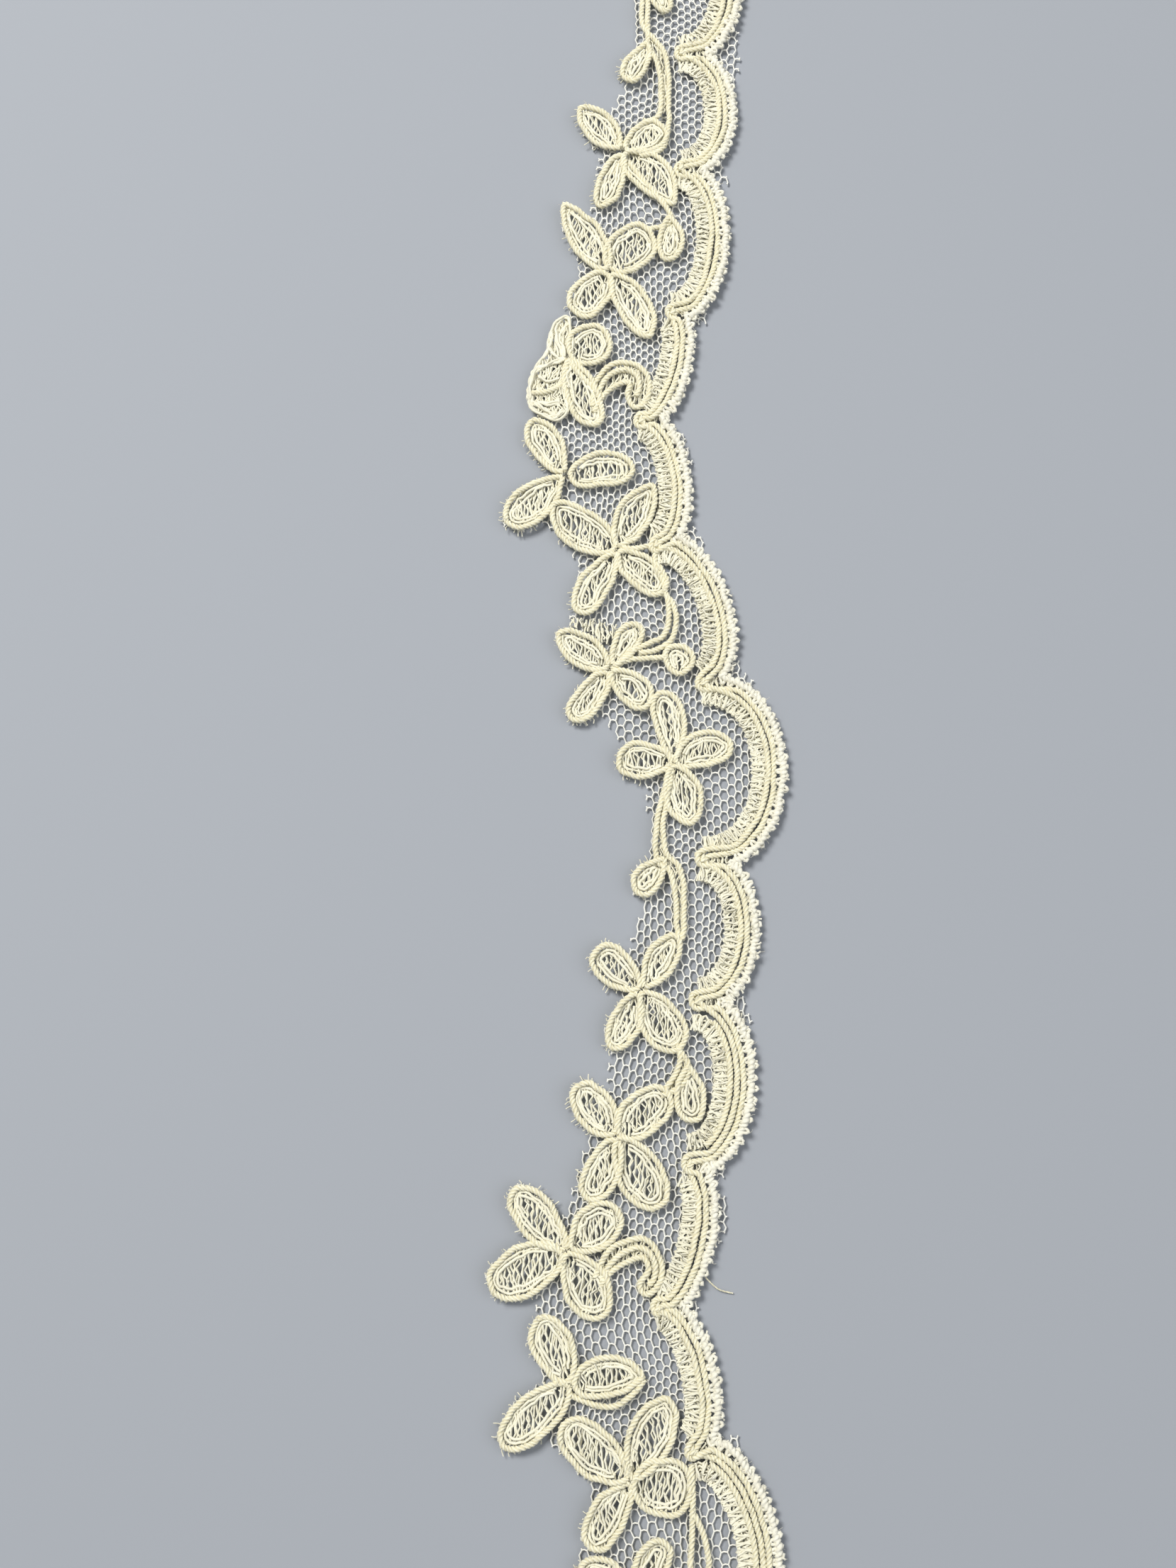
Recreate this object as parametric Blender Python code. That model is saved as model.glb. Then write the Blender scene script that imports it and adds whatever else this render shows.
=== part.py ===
"""Corded lace trim: a cut length of floral lace edging with a scalloped border, lying flat.

A net ground has clothwork petals and a ladder band worked into it. A cord is couched round every petal,
bud, stem and scroll, two cords follow each scallop, and a picot yarn edges the border outside them.
+X points to the scalloped edge, +Y runs along the trim, +Z is up, and z = 0 is the underside.
Sizes below are in millimetres.
"""
import math
from collections import namedtuple

import bmesh
import bpy
from mathutils import Vector
from mathutils.geometry import delaunay_2d_cdt

MM = 0.001

# Thicknesses and heights
NET_THICKNESS = 1.0
CLOTHWORK_RISE = 0.2
COUCHING_GAP = 0.3
CORD_DIAMETER = 0.9
PICOT_DIAMETER = 1.0

# The cut ends of the length
CUT_TOP = 127.0
CUT_BOTTOM = -106.5

# Between the middle lines of two sprays' cords, and how far past a strand's half width the plan still holds it
CORD_SPACING = CORD_DIAMETER + 0.34
STRAND_REACH = 1.15
PLAN_WELD = 0.08
NUDGE = Vector((0.01, 0.0))

# A petal's teardrop: how far its cord passes the flower's middle, how it narrows to it, and where it is widest
CROSSING_REACH = 0.4
PETAL_TAPER = 0.35
WIDEST_SINE = 0.8975

# A petal that meets another spray's cord is drawn in by these steps, down to this share of its reach
REACH_STEP = 0.15
BREADTH_STEP = 0.05
LEAST_REACH_SHARE = 0.55

# Net that is left round a petal's cord when the trim is cut out, and the filled middle inside the cord
PETAL_MARGIN = 0.9
CLOTHWORK_INSET = 1.2
CLOTHWORK_START_SHARE = 0.35
CLOTHWORK_STEPS = 6

# Scalloped border, measured outwards from its outer cord
SCALLOP_FULLNESS = 0.8
OUTLINE_OFFSET = 1.85
PICOT_OFFSET = 1.3
INNER_CORD_OFFSET = -1.05
LADDER_OUTER_OFFSET = -1.85
LADDER_INNER_OFFSET = -2.95
NOTCH_DEPTH = 2.5
PICOT_CLEARANCE = 1.24
LADDER_END_POINTS = 2
TANGENT_TURN = 0.02

# How far the net's outline reaches under the scallops, at the top and bottom ends
NET_SIDE_TOP = 16.0
NET_SIDE_BOTTOM = 20.0

# A strip's corner is mitred no further than this, and a fold sharper than the least bend is squared off
MITRE_LIMIT = 1.3
LEAST_BEND = 0.2
LEAST_MITRE = 0.1

# Where the drawing's own origin lies from the middle of the trim's box
DRAWING_SHIFT = (-7.45, -10.25)

# Points along each kind of cord
PETAL_STEPS = 10
SCALLOP_STEPS = 10
STEM_SPACING = 2.0

Petal = namedtuple("Petal", "heading reach breadth")
Bud = namedtuple("Bud", "base heading reach breadth")
Flower = namedtuple("Flower", "centre petals buds stems", defaults=((), ()))
Notch = namedtuple("Notch", "cusp scrap_reach scrap_height")

# The sprays from the top down, one row a flower. Headings are degrees from +X; reach and breadth are over the cord.
SPRAYS = (
    (
        Flower((9.7, 124.3), (Petal(-78, 8.7, 3.5), Petal(168, 8.6, 5.2), Petal(19, 9.0, 5.2))),
    ),
    (
        Flower(
            (5.2, 93.5),
            (Petal(134, 9.5, 4.5), Petal(33, 7.7, 5.4), Petal(-112, 9.7, 4.0), Petal(-52, 11.5, 5.2)),
            (Bud((9.0, 111.0), -118, 7.3, 3.8), Bud((11.8, 83.4), -90, 7.5, 4.0)),
            (
                ((8.8, 119.0), (8.8, 111.0), (10.2, 107.4), (10.7, 102.8), (10.4, 98.8), (9.2, 97.2)),
                (
                    (7.9, 119.0), (8.1, 113.5), (9.6, 111.6), (11.3, 109.0), (11.8, 105.0), (11.6, 100.5),
                    (10.4, 97.0),
                ),
                ((11.2, 86.0), (11.8, 84.0), (11.8, 82.5), (9.0, 80.8)),
            ),
        ),
        Flower(
            (3.1, 74.6),
            (Petal(123, 12.6, 4.4), Petal(46, 8.7, 6.4), Petal(-125, 8.4, 4.8), Petal(-61, 11.5, 5.0)),
        ),
    ),
    (
        Flower(
            (-3.0, 61.5),
            (Petal(105, 5.9, 2.8), Petal(34, 7.6, 5.7), Petal(-116, 10.3, 4.8), Petal(-69, 11.3, 4.8)),
            (),
            (
                (
                    (0.6, 54.0), (1.0, 57.5), (3.1, 59.6), (5.6, 60.1), (7.6, 59.0), (8.5, 57.0),
                    (8.0, 54.8), (7.0, 54.2), (6.2, 55.4), (6.0, 57.2), (4.0, 56.8), (1.6, 55.2), (0.8, 53.2),
                ),
            ),
        ),
    ),
    (
        Flower((-3.2, 43.6), (Petal(119, 9.8, 4.5), Petal(9, 10.0, 5.6), Petal(-140, 10.7, 4.7))),
        Flower(
            (3.8, 33.0),
            (Petal(143, 11.2, 6.2), Petal(62, 10.9, 4.2), Petal(-119, 10.6, 4.8), Petal(-42, 9.2, 5.0)),
            (),
            (
                (
                    (4.5, 33.4), (6.5, 33.0), (8.9, 33.2), (9.4, 30.4), (10.7, 27.4), (11.0, 23.3),
                    (10.3, 20.8), (8.3, 19.5), (6.1, 18.6), (4.9, 17.4),
                ),
                ((10.3, 27.0), (11.8, 25.0), (12.0, 22.3), (11.2, 19.8), (9.2, 18.6), (7.0, 18.2)),
            ),
        ),
        Flower(
            (3.1, 16.0),
            (Petal(146, 9.2, 4.7), Petal(59, 7.6, 4.1), Petal(-126, 9.2, 4.4), Petal(-45, 7.5, 4.7)),
            (Bud((12.5, 15.0), 89, 4.6, 4.3),),
            (((9.4, 17.6), (11.0, 17.8)), ((3.1, 16.0), (5.5, 17.2), (8.0, 17.4), (11.0, 17.8))),
        ),
    ),
    (
        Flower(
            (11.7, 3.0),
            (Petal(97, 10.1, 4.4), Petal(19, 8.4, 5.4), Petal(171, 7.9, 5.4), Petal(-73, 8.8, 4.6)),
            (Bud((10.2, -10.0), -128, 6.2, 4.0),),
            (
                (
                    (11.4, 2.0), (10.0, -1.6), (9.2, -5.2), (9.1, -10.0), (10.9, -11.6), (11.5, -14.8),
                    (11.8, -19.0),
                ),
                (
                    (11.2, 1.0), (10.3, -3.0), (10.1, -6.0), (10.4, -9.3), (12.2, -11.4), (12.8, -15.5),
                    (12.6, -20.0),
                ),
            ),
        ),
    ),
    (
        Flower(
            (7.0, -27.6),
            (Petal(139, 8.3, 4.7), Petal(57, 8.7, 4.0), Petal(-117, 8.8, 4.0), Petal(-58, 9.3, 5.6)),
            (Bud((13.1, -37.2), -88, 7.4, 4.1),),
            (((11.6, -34.6), (12.9, -37.2), (12.4, -39.2), (10.9, -40.6), (9.6, -41.2)),),
        ),
        Flower(
            (3.7, -46.4),
            (Petal(128, 8.4, 4.6), Petal(41, 8.9, 5.3), Petal(-114, 9.1, 4.8), Petal(-58, 10.8, 5.8)),
        ),
    ),
    (
        Flower(
            (-2.9, -60.7),
            (Petal(131, 10.5, 4.5), Petal(36, 8.4, 5.3), Petal(-155, 10.6, 6.1), Petal(-59, 9.4, 5.4)),
            (),
            (
                (
                    (1.0, -64.0), (2.0, -61.4), (3.7, -59.8), (6.2, -59.1), (8.2, -59.9), (9.3, -62.3),
                    (9.2, -64.3), (8.3, -65.7), (7.1, -66.0), (6.6, -64.8), (7.6, -63.2), (7.0, -61.6),
                    (5.0, -62.0), (2.9, -63.3), (1.6, -65.0),
                ),
            ),
        ),
    ),
    (
        Flower(
            (-2.2, -76.9),
            (Petal(117, 9.5, 4.9), Petal(6, 9.4, 5.4), Petal(-140, 11.5, 4.6)),
            (),
            (((-2.6, -78.0), (0.5, -79.8), (3.8, -79.9), (6.4, -78.6)),),
        ),
    ),
    (
        Flower(
            (5.3, -88.3),
            (Petal(141, 11.0, 5.1), Petal(63, 11.1, 4.6), Petal(-123, 9.7, 4.4), Petal(-26, 8.5, 5.8)),
            (),
            (
                ((12.8, -86.6), (13.1, -89.3), (13.0, -93.4), (12.6, -98.5), (12.4, -108.0)),
                ((13.0, -91.8), (14.4, -95.0), (14.8, -98.5), (14.4, -108.0)),
            ),
        ),
    ),
    (
        Flower(
            (5.5, -102.4),
            (Petal(145, 7.8, 5.0), Petal(61, 8.4, 4.5), Petal(-12, 8.0, 5.0), Petal(-84, 8.8, 4.6)),
        ),
    ),
)

# The inner ends of the notches between scallops, from the top down, and the net left uncut in each notch.
NOTCHES = (
    Notch((13.3, 133.9), 6.0, 3.0),
    Notch((13.0, 109.2), 7.5, 4.0),
    Notch((12.7, 90.7), 6.5, 3.0),
    Notch((11.3, 68.3), 4.2, 3.0),
    Notch((6.7, 52.0), 6.3, 4.0),
    Notch((8.7, 33.7), 5.2, 3.0),
    Notch((14.9, 14.1), 7.3, 4.0),
    Notch((14.6, -10.1), 5.6, 3.0),
    Notch((13.6, -28.9), 6.3, 3.0),
    Notch((12.3, -49.8), 5.7, 3.0),
    Notch((8.1, -67.6), 4.8, 3.0),
    Notch((12.3, -84.8), 7.5, 4.0),
    Notch((18.9, -104.0), 6.0, 3.0),
    Notch((18.6, -128.0), 6.0, 3.0),
)

# How far each scallop's outline stands out from the line between its cusps
SCALLOP_DEPTHS = (10.0, 9.0, 8.4, 5.7, 6.9, 8.2, 12.2, 8.8, 9.1, 6.3, 6.4, 8.0, 12.0)

# Where the net is cut along the flowers' side, from the top down
CUT_EDGE = (
    (7.1, 127.3), (6.6, 118.0), (7.0, 111.5), (5.2, 104.0), (3.1, 100.5), (2.6, 95.0), (1.1, 91.5),
    (0.4, 84.2), (-0.6, 78.0), (-1.7, 74.8), (-3.5, 68.0), (-5.0, 62.0), (-6.6, 54.0), (-6.4, 49.0),
    (-5.7, 44.7), (-5.8, 36.6), (-1.2, 31.3), (-2.9, 23.3), (-0.8, 18.0), (0.3, 14.6), (2.0, 8.9),
    (4.8, 5.5), (7.6, 1.0), (8.1, -6.0), (7.6, -15.7), (5.7, -20.4), (4.0, -28.3), (2.8, -35.7),
    (2.5, -39.8), (0.6, -44.0), (-0.4, -47.9), (-2.4, -54.7), (-6.0, -60.3), (-6.7, -67.9), (-6.5, -76.0),
    (-5.3, -83.8), (0.5, -89.3), (-0.6, -94.0), (-1.3, -97.1), (0.0, -106.6),
)


def clear_scene():
    """Empty the scene, so that the script gives the same result each time."""
    for old in list(bpy.data.objects):
        bpy.data.objects.remove(old, do_unlink=True)


def material(name, colour, roughness):
    """A plain cloth or yarn finish."""
    made = bpy.data.materials.new(name)
    made.use_nodes = True
    shader = made.node_tree.nodes["Principled BSDF"]
    shader.inputs["Base Color"].default_value = (*colour, 1.0)
    shader.inputs["Roughness"].default_value = roughness
    shader.inputs["Metallic"].default_value = 0.0
    return made


def petal_path(base, heading, reach, breadth, steps, margin=0.0):
    """The line of the cord round a petal or bud, a teardrop that starts at its base."""
    tip = reach - CORD_DIAMETER / 2 + margin
    root = -CROSSING_REACH - margin
    half = (breadth - CORD_DIAMETER) / 2 + margin
    lie = Vector((math.cos(math.radians(heading)), math.sin(math.radians(heading))))
    side = Vector((-lie.y, lie.x))
    points = []
    for step in range(steps):
        turn = math.tau * step / steps
        along = root + (tip - root) * math.sin(turn / 2) ** 2
        across = half * math.sin(turn) * abs(math.sin(turn / 2)) ** PETAL_TAPER / WIDEST_SINE
        points.append(Vector(base) + along * lie + across * side)
    return points


def smooth_path(points, spacing):
    """Points about one spacing apart on a smooth curve through the given ones."""
    guides = [Vector(point) for point in points]
    guides = [2 * guides[0] - guides[1], *guides, 2 * guides[-1] - guides[-2]]
    path = []
    for p0, p1, p2, p3 in zip(guides, guides[1:], guides[2:], guides[3:]):
        pieces = max(1, round((p2 - p1).length / spacing))
        for piece in range(pieces):
            t = piece / pieces
            path.append(
                0.5 * (2 * p1 + (p2 - p0) * t + (2 * p0 - 5 * p1 + 4 * p2 - p3) * t ** 2
                       + (3 * p1 - p0 - 3 * p2 + p3) * t ** 3)
            )
    return path + [guides[-2]]


def scallop_path(top, bottom, depth, offset=0.0):
    """A full arc from cusp to cusp, drawn some way outwards from the outer cord's line."""
    top, bottom = Vector(top), Vector(bottom)
    chord = bottom - top
    out = Vector((-chord.y, chord.x)).normalized()

    def arc_point(turn):
        """The point of the outer cord's line at an angle from 0 at the top cusp to pi at the bottom one."""
        away = (depth - OUTLINE_OFFSET) * max(0.0, math.sin(turn)) ** SCALLOP_FULLNESS
        return top + chord * (1 - math.cos(turn)) / 2 + out * away

    points = []
    for step in range(SCALLOP_STEPS + 1):
        turn = math.pi * step / SCALLOP_STEPS
        tangent = arc_point(min(math.pi, turn + TANGENT_TURN)) - arc_point(max(0.0, turn - TANGENT_TURN))
        points.append(arc_point(turn) + Vector((-tangent.y, tangent.x)).normalized() * offset)
    return points


def scallop_rows(offset):
    """One path for each scallop at that offset, from the top down."""
    return [
        scallop_path(above.cusp, below.cusp, depth, offset)
        for above, below, depth in zip(NOTCHES, NOTCHES[1:], SCALLOP_DEPTHS)
    ]


def clip_path(path, closed):
    """The runs of a path that lie between the two cut ends."""
    def inside(point):
        return CUT_BOTTOM <= point.y <= CUT_TOP

    if closed and all(inside(point) for point in path):
        return [(path, True)]
    if closed:
        first = next((k for k, point in enumerate(path) if not inside(point)), 0)
        path = path[first:] + path[:first + 1]
    runs, run = [], []
    for start, end in zip(path, path[1:]):
        if inside(start):
            run.append(start)
        if inside(start) != inside(end):
            level = CUT_TOP if max(start.y, end.y) > CUT_TOP else CUT_BOTTOM
            run.append(start.lerp(end, (level - start.y) / (end.y - start.y)))
        if run and not inside(end):
            runs.append((run, False))
            run = []
    if inside(path[-1]):
        run.append(path[-1])
    if len(run) > 1:
        runs.append((run, False))
    return [(run, ends) for run, ends in runs if path_length(run) > CORD_DIAMETER]


def clip_outline(outline):
    """An outline cut straight across at the two ends."""
    for level, sign in ((CUT_TOP, 1), (CUT_BOTTOM, -1)):
        kept = []
        for start, end in zip(outline, outline[1:] + outline[:1]):
            start_in, end_in = sign * (start.y - level) <= 0, sign * (end.y - level) <= 0
            if start_in:
                kept.append(start)
            if start_in != end_in:
                kept.append(start.lerp(end, (level - start.y) / (end.y - start.y)))
        outline = kept
    return outline


def path_length(path):
    """The length of a path."""
    return sum((end - start).length for start, end in zip(path, path[1:]))


def point_gap(point, start, end):
    """The distance from a point to a straight piece."""
    along = end - start
    t = max(0.0, min(1.0, (point - start).dot(along) / max(along.length_squared, 1e-9)))
    return (start + along * t - point).length


def crosses(a, b, c, d):
    """Whether the straight pieces a-b and c-d cross."""
    def turn(p, q, r):
        return (q.x - p.x) * (r.y - p.y) - (q.y - p.y) * (r.x - p.x)

    return turn(a, b, c) * turn(a, b, d) < 0 and turn(c, d, a) * turn(c, d, b) < 0


def path_gap(path, other):
    """The least distance between two paths."""
    least = math.inf
    for a, b in zip(path, path[1:]):
        for c, d in zip(other, other[1:]):
            if max(min(a.x, b.x) - max(c.x, d.x), min(c.x, d.x) - max(a.x, b.x),
                   min(a.y, b.y) - max(c.y, d.y), min(c.y, d.y) - max(a.y, b.y)) > CORD_SPACING:
                continue
            if crosses(a, b, c, d):
                return 0.0
            least = min(least, point_gap(a, c, d), point_gap(b, c, d), point_gap(c, a, b), point_gap(d, a, b))
    return least


def ring(path):
    """A closed path with its first point repeated at the end."""
    return path + path[:1]


def is_clear(path, laid):
    """Whether a path keeps its spacing to every path laid before it."""
    return all(path_gap(path, other) >= CORD_SPACING for other in laid)


def petal_strands(petal, base, laid):
    """A petal's cord, drawn in until it lies clear of the cords laid before it."""
    reach, breadth = petal.reach, petal.breadth
    while reach > LEAST_REACH_SHARE * petal.reach:
        path = petal_path(base, petal.heading, reach, breadth, PETAL_STEPS)
        if is_clear(ring(path), laid):
            return clip_path(path, True)
        reach -= REACH_STEP
        breadth -= BREADTH_STEP
    return []


def stem_strands(points, laid):
    """The longest stretch of a stem's cord that lies clear of the cords laid before it."""
    best, run = [], []
    for point in smooth_path(points, STEM_SPACING):
        run = run + [point]
        while len(run) > 1 and not is_clear(run[-2:], laid):
            run = run[-1:] if is_clear([run[-1], run[-1] + NUDGE], laid) else []
        if len(run) > len(best):
            best = run
    return clip_path(best, False) if len(best) > 1 else []


def offset_sides(path, closed, half):
    """The two sides of a strip that follows a path, mitred at its corners."""
    left, right = [], []
    for number, point in enumerate(path):
        before = path[number - 1] if closed or number else point
        after = path[(number + 1) % len(path)] if closed or number < len(path) - 1 else point
        way_in = (point - before).normalized() if point != before else (after - point).normalized()
        way_out = (after - point).normalized() if after != point else way_in
        mean = way_in + way_out
        mean = mean.normalized() if mean.length > LEAST_BEND else Vector((-way_in.y, way_in.x))
        normal = Vector((-mean.y, mean.x))
        stretch = min(MITRE_LIMIT, 1 / max(LEAST_MITRE, normal.dot(Vector((-way_in.y, way_in.x)))))
        left.append(point + normal * half * stretch)
        right.append(point - normal * half * stretch)
    return left, right


def strip_outlines(path, closed, half):
    """Four-sided outlines that cover a strip, on both sides of its middle line."""
    left, right = offset_sides(path, closed, half)
    last = len(path) if closed else len(path) - 1
    outlines = []
    for number in range(last):
        after = (number + 1) % len(path)
        outlines.append([left[number], path[number], path[after], left[after]])
        outlines.append([path[number], right[number], right[after], path[after]])
    return outlines


def open_pinches(plan):
    """Take the smallest face away wherever two stretches of a flat plan meet in one point only."""
    def pinches():
        return [vert for vert in plan.verts if sum(edge.is_boundary for edge in vert.link_edges) > 2]

    while pinches():
        smallest = min(pinches()[0].link_faces, key=lambda face: face.calc_area())
        bmesh.ops.delete(plan, geom=[smallest], context="FACES")


def relief(name, outlines, covers, top_height, underside, finish):
    """A solid over the plan that some outlines cover, flat underneath, with a top of the given heights."""
    points, faces = [], []
    for outline in outlines:
        area = sum(a.cross(b) for a, b in zip(outline, outline[1:] + outline[:1]))
        first = len(points)
        points += outline if area > 0 else outline[::-1]
        faces.append(list(range(first, len(points))))
    inside_only = 1
    found, _, triangles, *_ = delaunay_2d_cdt(points, [], faces, inside_only, PLAN_WELD)
    solid = bmesh.new()
    verts = [solid.verts.new((point.x + DRAWING_SHIFT[0], point.y + DRAWING_SHIFT[1], top_height(point)))
             for point in found]
    for triangle in triangles:
        if covers(sum((found[index] for index in triangle), Vector((0.0, 0.0))) / 3):
            solid.faces.new([verts[index] for index in triangle])
    open_pinches(solid)
    loose = [vert for vert in solid.verts if not vert.link_faces]
    bmesh.ops.delete(solid, geom=loose, context="VERTS")
    lower = bmesh.ops.extrude_face_region(solid, geom=list(solid.faces))
    flat_verts = [part for part in lower["geom"] if isinstance(part, bmesh.types.BMVert)]
    flat_edges = [part for part in lower["geom"] if isinstance(part, bmesh.types.BMEdge)]
    for vert in flat_verts:
        vert.co.z = underside
    solid.normal_update()
    bmesh.ops.dissolve_limit(solid, angle_limit=math.radians(1), use_dissolve_boundaries=False,
                             verts=flat_verts, edges=flat_edges)
    bmesh.ops.recalc_face_normals(solid, faces=solid.faces)
    bmesh.ops.scale(solid, vec=(MM, MM, MM), verts=solid.verts)
    mesh = bpy.data.meshes.new(name)
    solid.to_mesh(mesh)
    solid.free()
    mesh.materials.append(finish)
    PARTS.objects.link(bpy.data.objects.new(name, mesh))


def cord_solid(name, strands, diameter, finish):
    """One solid cord from strands that cross or touch, rounded on top and flat where it is couched down."""
    half = diameter / 2
    underside = NET_THICKNESS + CLOTHWORK_RISE + COUCHING_GAP
    lines = [ring(path) if closed else path for path, closed in strands]

    def away(point):
        """How far a point of the plan lies from the nearest strand's middle line."""
        return min(point_gap(point, a, b) for line in lines for a, b in zip(line, line[1:]))

    def covers(point):
        """Whether a point of the plan lies under a strand."""
        return away(point) < STRAND_REACH * half

    def top_height(point):
        """The height of the cord's top over a point of the plan."""
        return underside + half + math.sqrt(max(0.0, half ** 2 - away(point) ** 2))

    outlines = []
    for path, closed in strands:
        outlines += strip_outlines(path, closed, half)
    relief(name, outlines, covers, top_height, underside, finish)


def border_paths():
    """The scallops' cords, an outer and an inner one for each, clipped at the cut ends."""
    paths = []
    for outer, inner in zip(scallop_rows(0.0), scallop_rows(INNER_CORD_OFFSET)):
        for path in (outer, outer[:1] + inner[1:-1] + outer[-1:]):
            paths += [run for run, _ in clip_path(path, False)]
    return paths


def picot_path():
    """The edging yarn: it follows each scallop and passes the notches where their net is cut."""
    cords = scallop_rows(0.0)
    path = []
    for number, outline in enumerate(scallop_rows(PICOT_OFFSET)):
        cusp, chord = cords[number][0], cords[number][-1] - cords[number][0]
        out = Vector((-chord.y, chord.x)).normalized()
        others = cords[max(0, number - 1):number + 2]
        path += [point for point in outline
                 if (point - cusp).dot(out) > NOTCH_DEPTH
                 and min(point_gap(point, a, b) for cord in others for a, b in zip(cord, cord[1:]))
                 > PICOT_CLEARANCE]
    return path


def build_cords(finish):
    """Every couched cord, spray by spray after the border."""
    border = border_paths()
    cord_solid("scallop_cords", [(path, False) for path in border], CORD_DIAMETER, finish)
    cord_solid("picot_edge", clip_path(picot_path(), False), PICOT_DIAMETER, finish)
    laid = list(border)
    for number, spray in enumerate(SPRAYS):
        strands = []
        for flower in spray:
            for petal in flower.petals:
                strands += petal_strands(petal, flower.centre, laid)
            for stem in flower.stems:
                strands += stem_strands(stem, laid)
            for bud in flower.buds:
                strands += petal_strands(bud, bud.base, laid)
        cord_solid(f"spray_cord_{number + 1}", strands, CORD_DIAMETER, finish)
        laid += [ring(path) if closed else path for path, closed in strands]


def all_petals():
    """Each petal and bud with the point that it grows from."""
    flowers = [flower for spray in SPRAYS for flower in spray]
    rows = [(flower.centre, petal) for flower in flowers for petal in flower.petals]
    return rows + [(bud.base, bud) for flower in flowers for bud in flower.buds]


def is_inside(point, outline):
    """Whether a point lies inside a closed outline."""
    inside = False
    for a, b in zip(outline, outline[1:] + outline[:1]):
        if (a.y > point.y) != (b.y > point.y) and point.x < a.x + (b.x - a.x) * (point.y - a.y) / (b.y - a.y):
            inside = not inside
    return inside


def ground_outlines():
    """The closed outlines that together make the cloth's outline, with the net first."""
    scrap_side = []
    for notch in NOTCHES:
        x, y = notch.cusp
        half = notch.scrap_height / 2
        scrap_side += [(x + notch.scrap_reach / 2, y + half), (x + notch.scrap_reach, y),
                       (x + notch.scrap_reach / 2, y - half)]
    scrap_side = [Vector(point) for point in scrap_side if CUT_BOTTOM < point[1] < CUT_TOP]
    net = [Vector(point) for point in CUT_EDGE][::-1]
    net += [Vector((NET_SIDE_TOP, CUT_TOP + 1)), *scrap_side, Vector((NET_SIDE_BOTTOM, CUT_BOTTOM - 1))]
    outlines = [net]
    for base, petal in all_petals():
        outline = petal_path(base, petal.heading, petal.reach, petal.breadth, PETAL_STEPS, PETAL_MARGIN)
        if not all(is_inside(point, net) for point in outline):
            outlines.append(outline)
    outlines += scallop_rows(OUTLINE_OFFSET)
    return [clip_outline(outline) for outline in outlines]


def clothwork_outlines():
    """The raised middles of the petals, buds and ladder bands."""
    outlines = []
    for base, petal in all_petals():
        lie = Vector((math.cos(math.radians(petal.heading)), math.sin(math.radians(petal.heading))))
        root = Vector(base) + lie * CLOTHWORK_START_SHARE * petal.reach
        reach = (1 - CLOTHWORK_START_SHARE) * petal.reach - CLOTHWORK_INSET
        breadth = petal.breadth - 2 * CLOTHWORK_INSET
        outlines.append(petal_path(root, petal.heading, reach, breadth, CLOTHWORK_STEPS))
    ladder = slice(LADDER_END_POINTS, -LADDER_END_POINTS)
    for outer, inner in zip(scallop_rows(LADDER_OUTER_OFFSET), scallop_rows(LADDER_INNER_OFFSET)):
        outlines.append(outer[ladder] + inner[ladder][::-1])
    kept = []
    for outline in outlines:
        if len(outline) > 2 and all(CUT_BOTTOM < point.y < CUT_TOP for point in outline):
            kept.append(outline)
    return kept


def build_ground(finish):
    """The cloth: a flat sheet under the net, with its clothwork standing a little higher."""
    clothwork = clothwork_outlines()
    raised = {(round(point.x, 3), round(point.y, 3)) for outline in clothwork for point in outline}

    def top_height(point):
        """The height of the cloth's top over a point of the plan."""
        rise = CLOTHWORK_RISE if (round(point.x, 3), round(point.y, 3)) in raised else 0.0
        return NET_THICKNESS + rise

    plan = ground_outlines()

    def covers(point):
        """Whether a point of the plan lies in the cloth."""
        return any(is_inside(point, outline) for outline in plan)

    relief("net_ground", plan + clothwork, covers, top_height, 0.0, finish)


clear_scene()
PARTS = bpy.data.collections.new("corded_lace_trim")
bpy.context.scene.collection.children.link(PARTS)
build_ground(material("ivory net", (0.80, 0.77, 0.66), 0.85))
build_cords(material("cream cord", (0.82, 0.76, 0.58), 0.75))
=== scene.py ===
"""Corded lace trim, dressed: the threads, plied cords and edging yarn of a scalloped floral lace edging.

Lines are drawn in millimetres in the trim's own drawing, where +X points to the scalloped edge and +Y runs
along the trim. Geometry Nodes trees grow threads and cords along them, and each result is one plain mesh.
"""
from __future__ import annotations

import logging
import math
import random
from dataclasses import dataclass, field
from enum import Enum
from typing import Any, Callable, Iterable, NamedTuple, Sequence

import bpy
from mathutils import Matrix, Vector, noise

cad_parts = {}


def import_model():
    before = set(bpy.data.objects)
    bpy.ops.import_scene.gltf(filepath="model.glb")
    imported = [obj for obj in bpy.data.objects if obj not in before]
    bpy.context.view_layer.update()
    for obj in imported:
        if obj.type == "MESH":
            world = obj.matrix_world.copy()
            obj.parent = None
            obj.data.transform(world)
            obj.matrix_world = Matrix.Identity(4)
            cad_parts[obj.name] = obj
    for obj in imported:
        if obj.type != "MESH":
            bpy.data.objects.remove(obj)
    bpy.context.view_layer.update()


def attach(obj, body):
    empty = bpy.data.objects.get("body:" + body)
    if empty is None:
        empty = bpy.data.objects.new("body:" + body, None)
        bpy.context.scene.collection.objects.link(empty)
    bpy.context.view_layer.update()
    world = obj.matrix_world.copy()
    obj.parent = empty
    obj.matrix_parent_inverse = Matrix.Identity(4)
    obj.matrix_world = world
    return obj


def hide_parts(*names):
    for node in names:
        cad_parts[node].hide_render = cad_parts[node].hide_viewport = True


LOG = logging.getLogger("lace")
MM = 0.001
DRAWING_SHIFT = Vector((-7.45, -10.25))
Path = list[Vector]
Spot = tuple[float, float]
Line = tuple[Spot, ...]
Colour = tuple[float, float, float]


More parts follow.
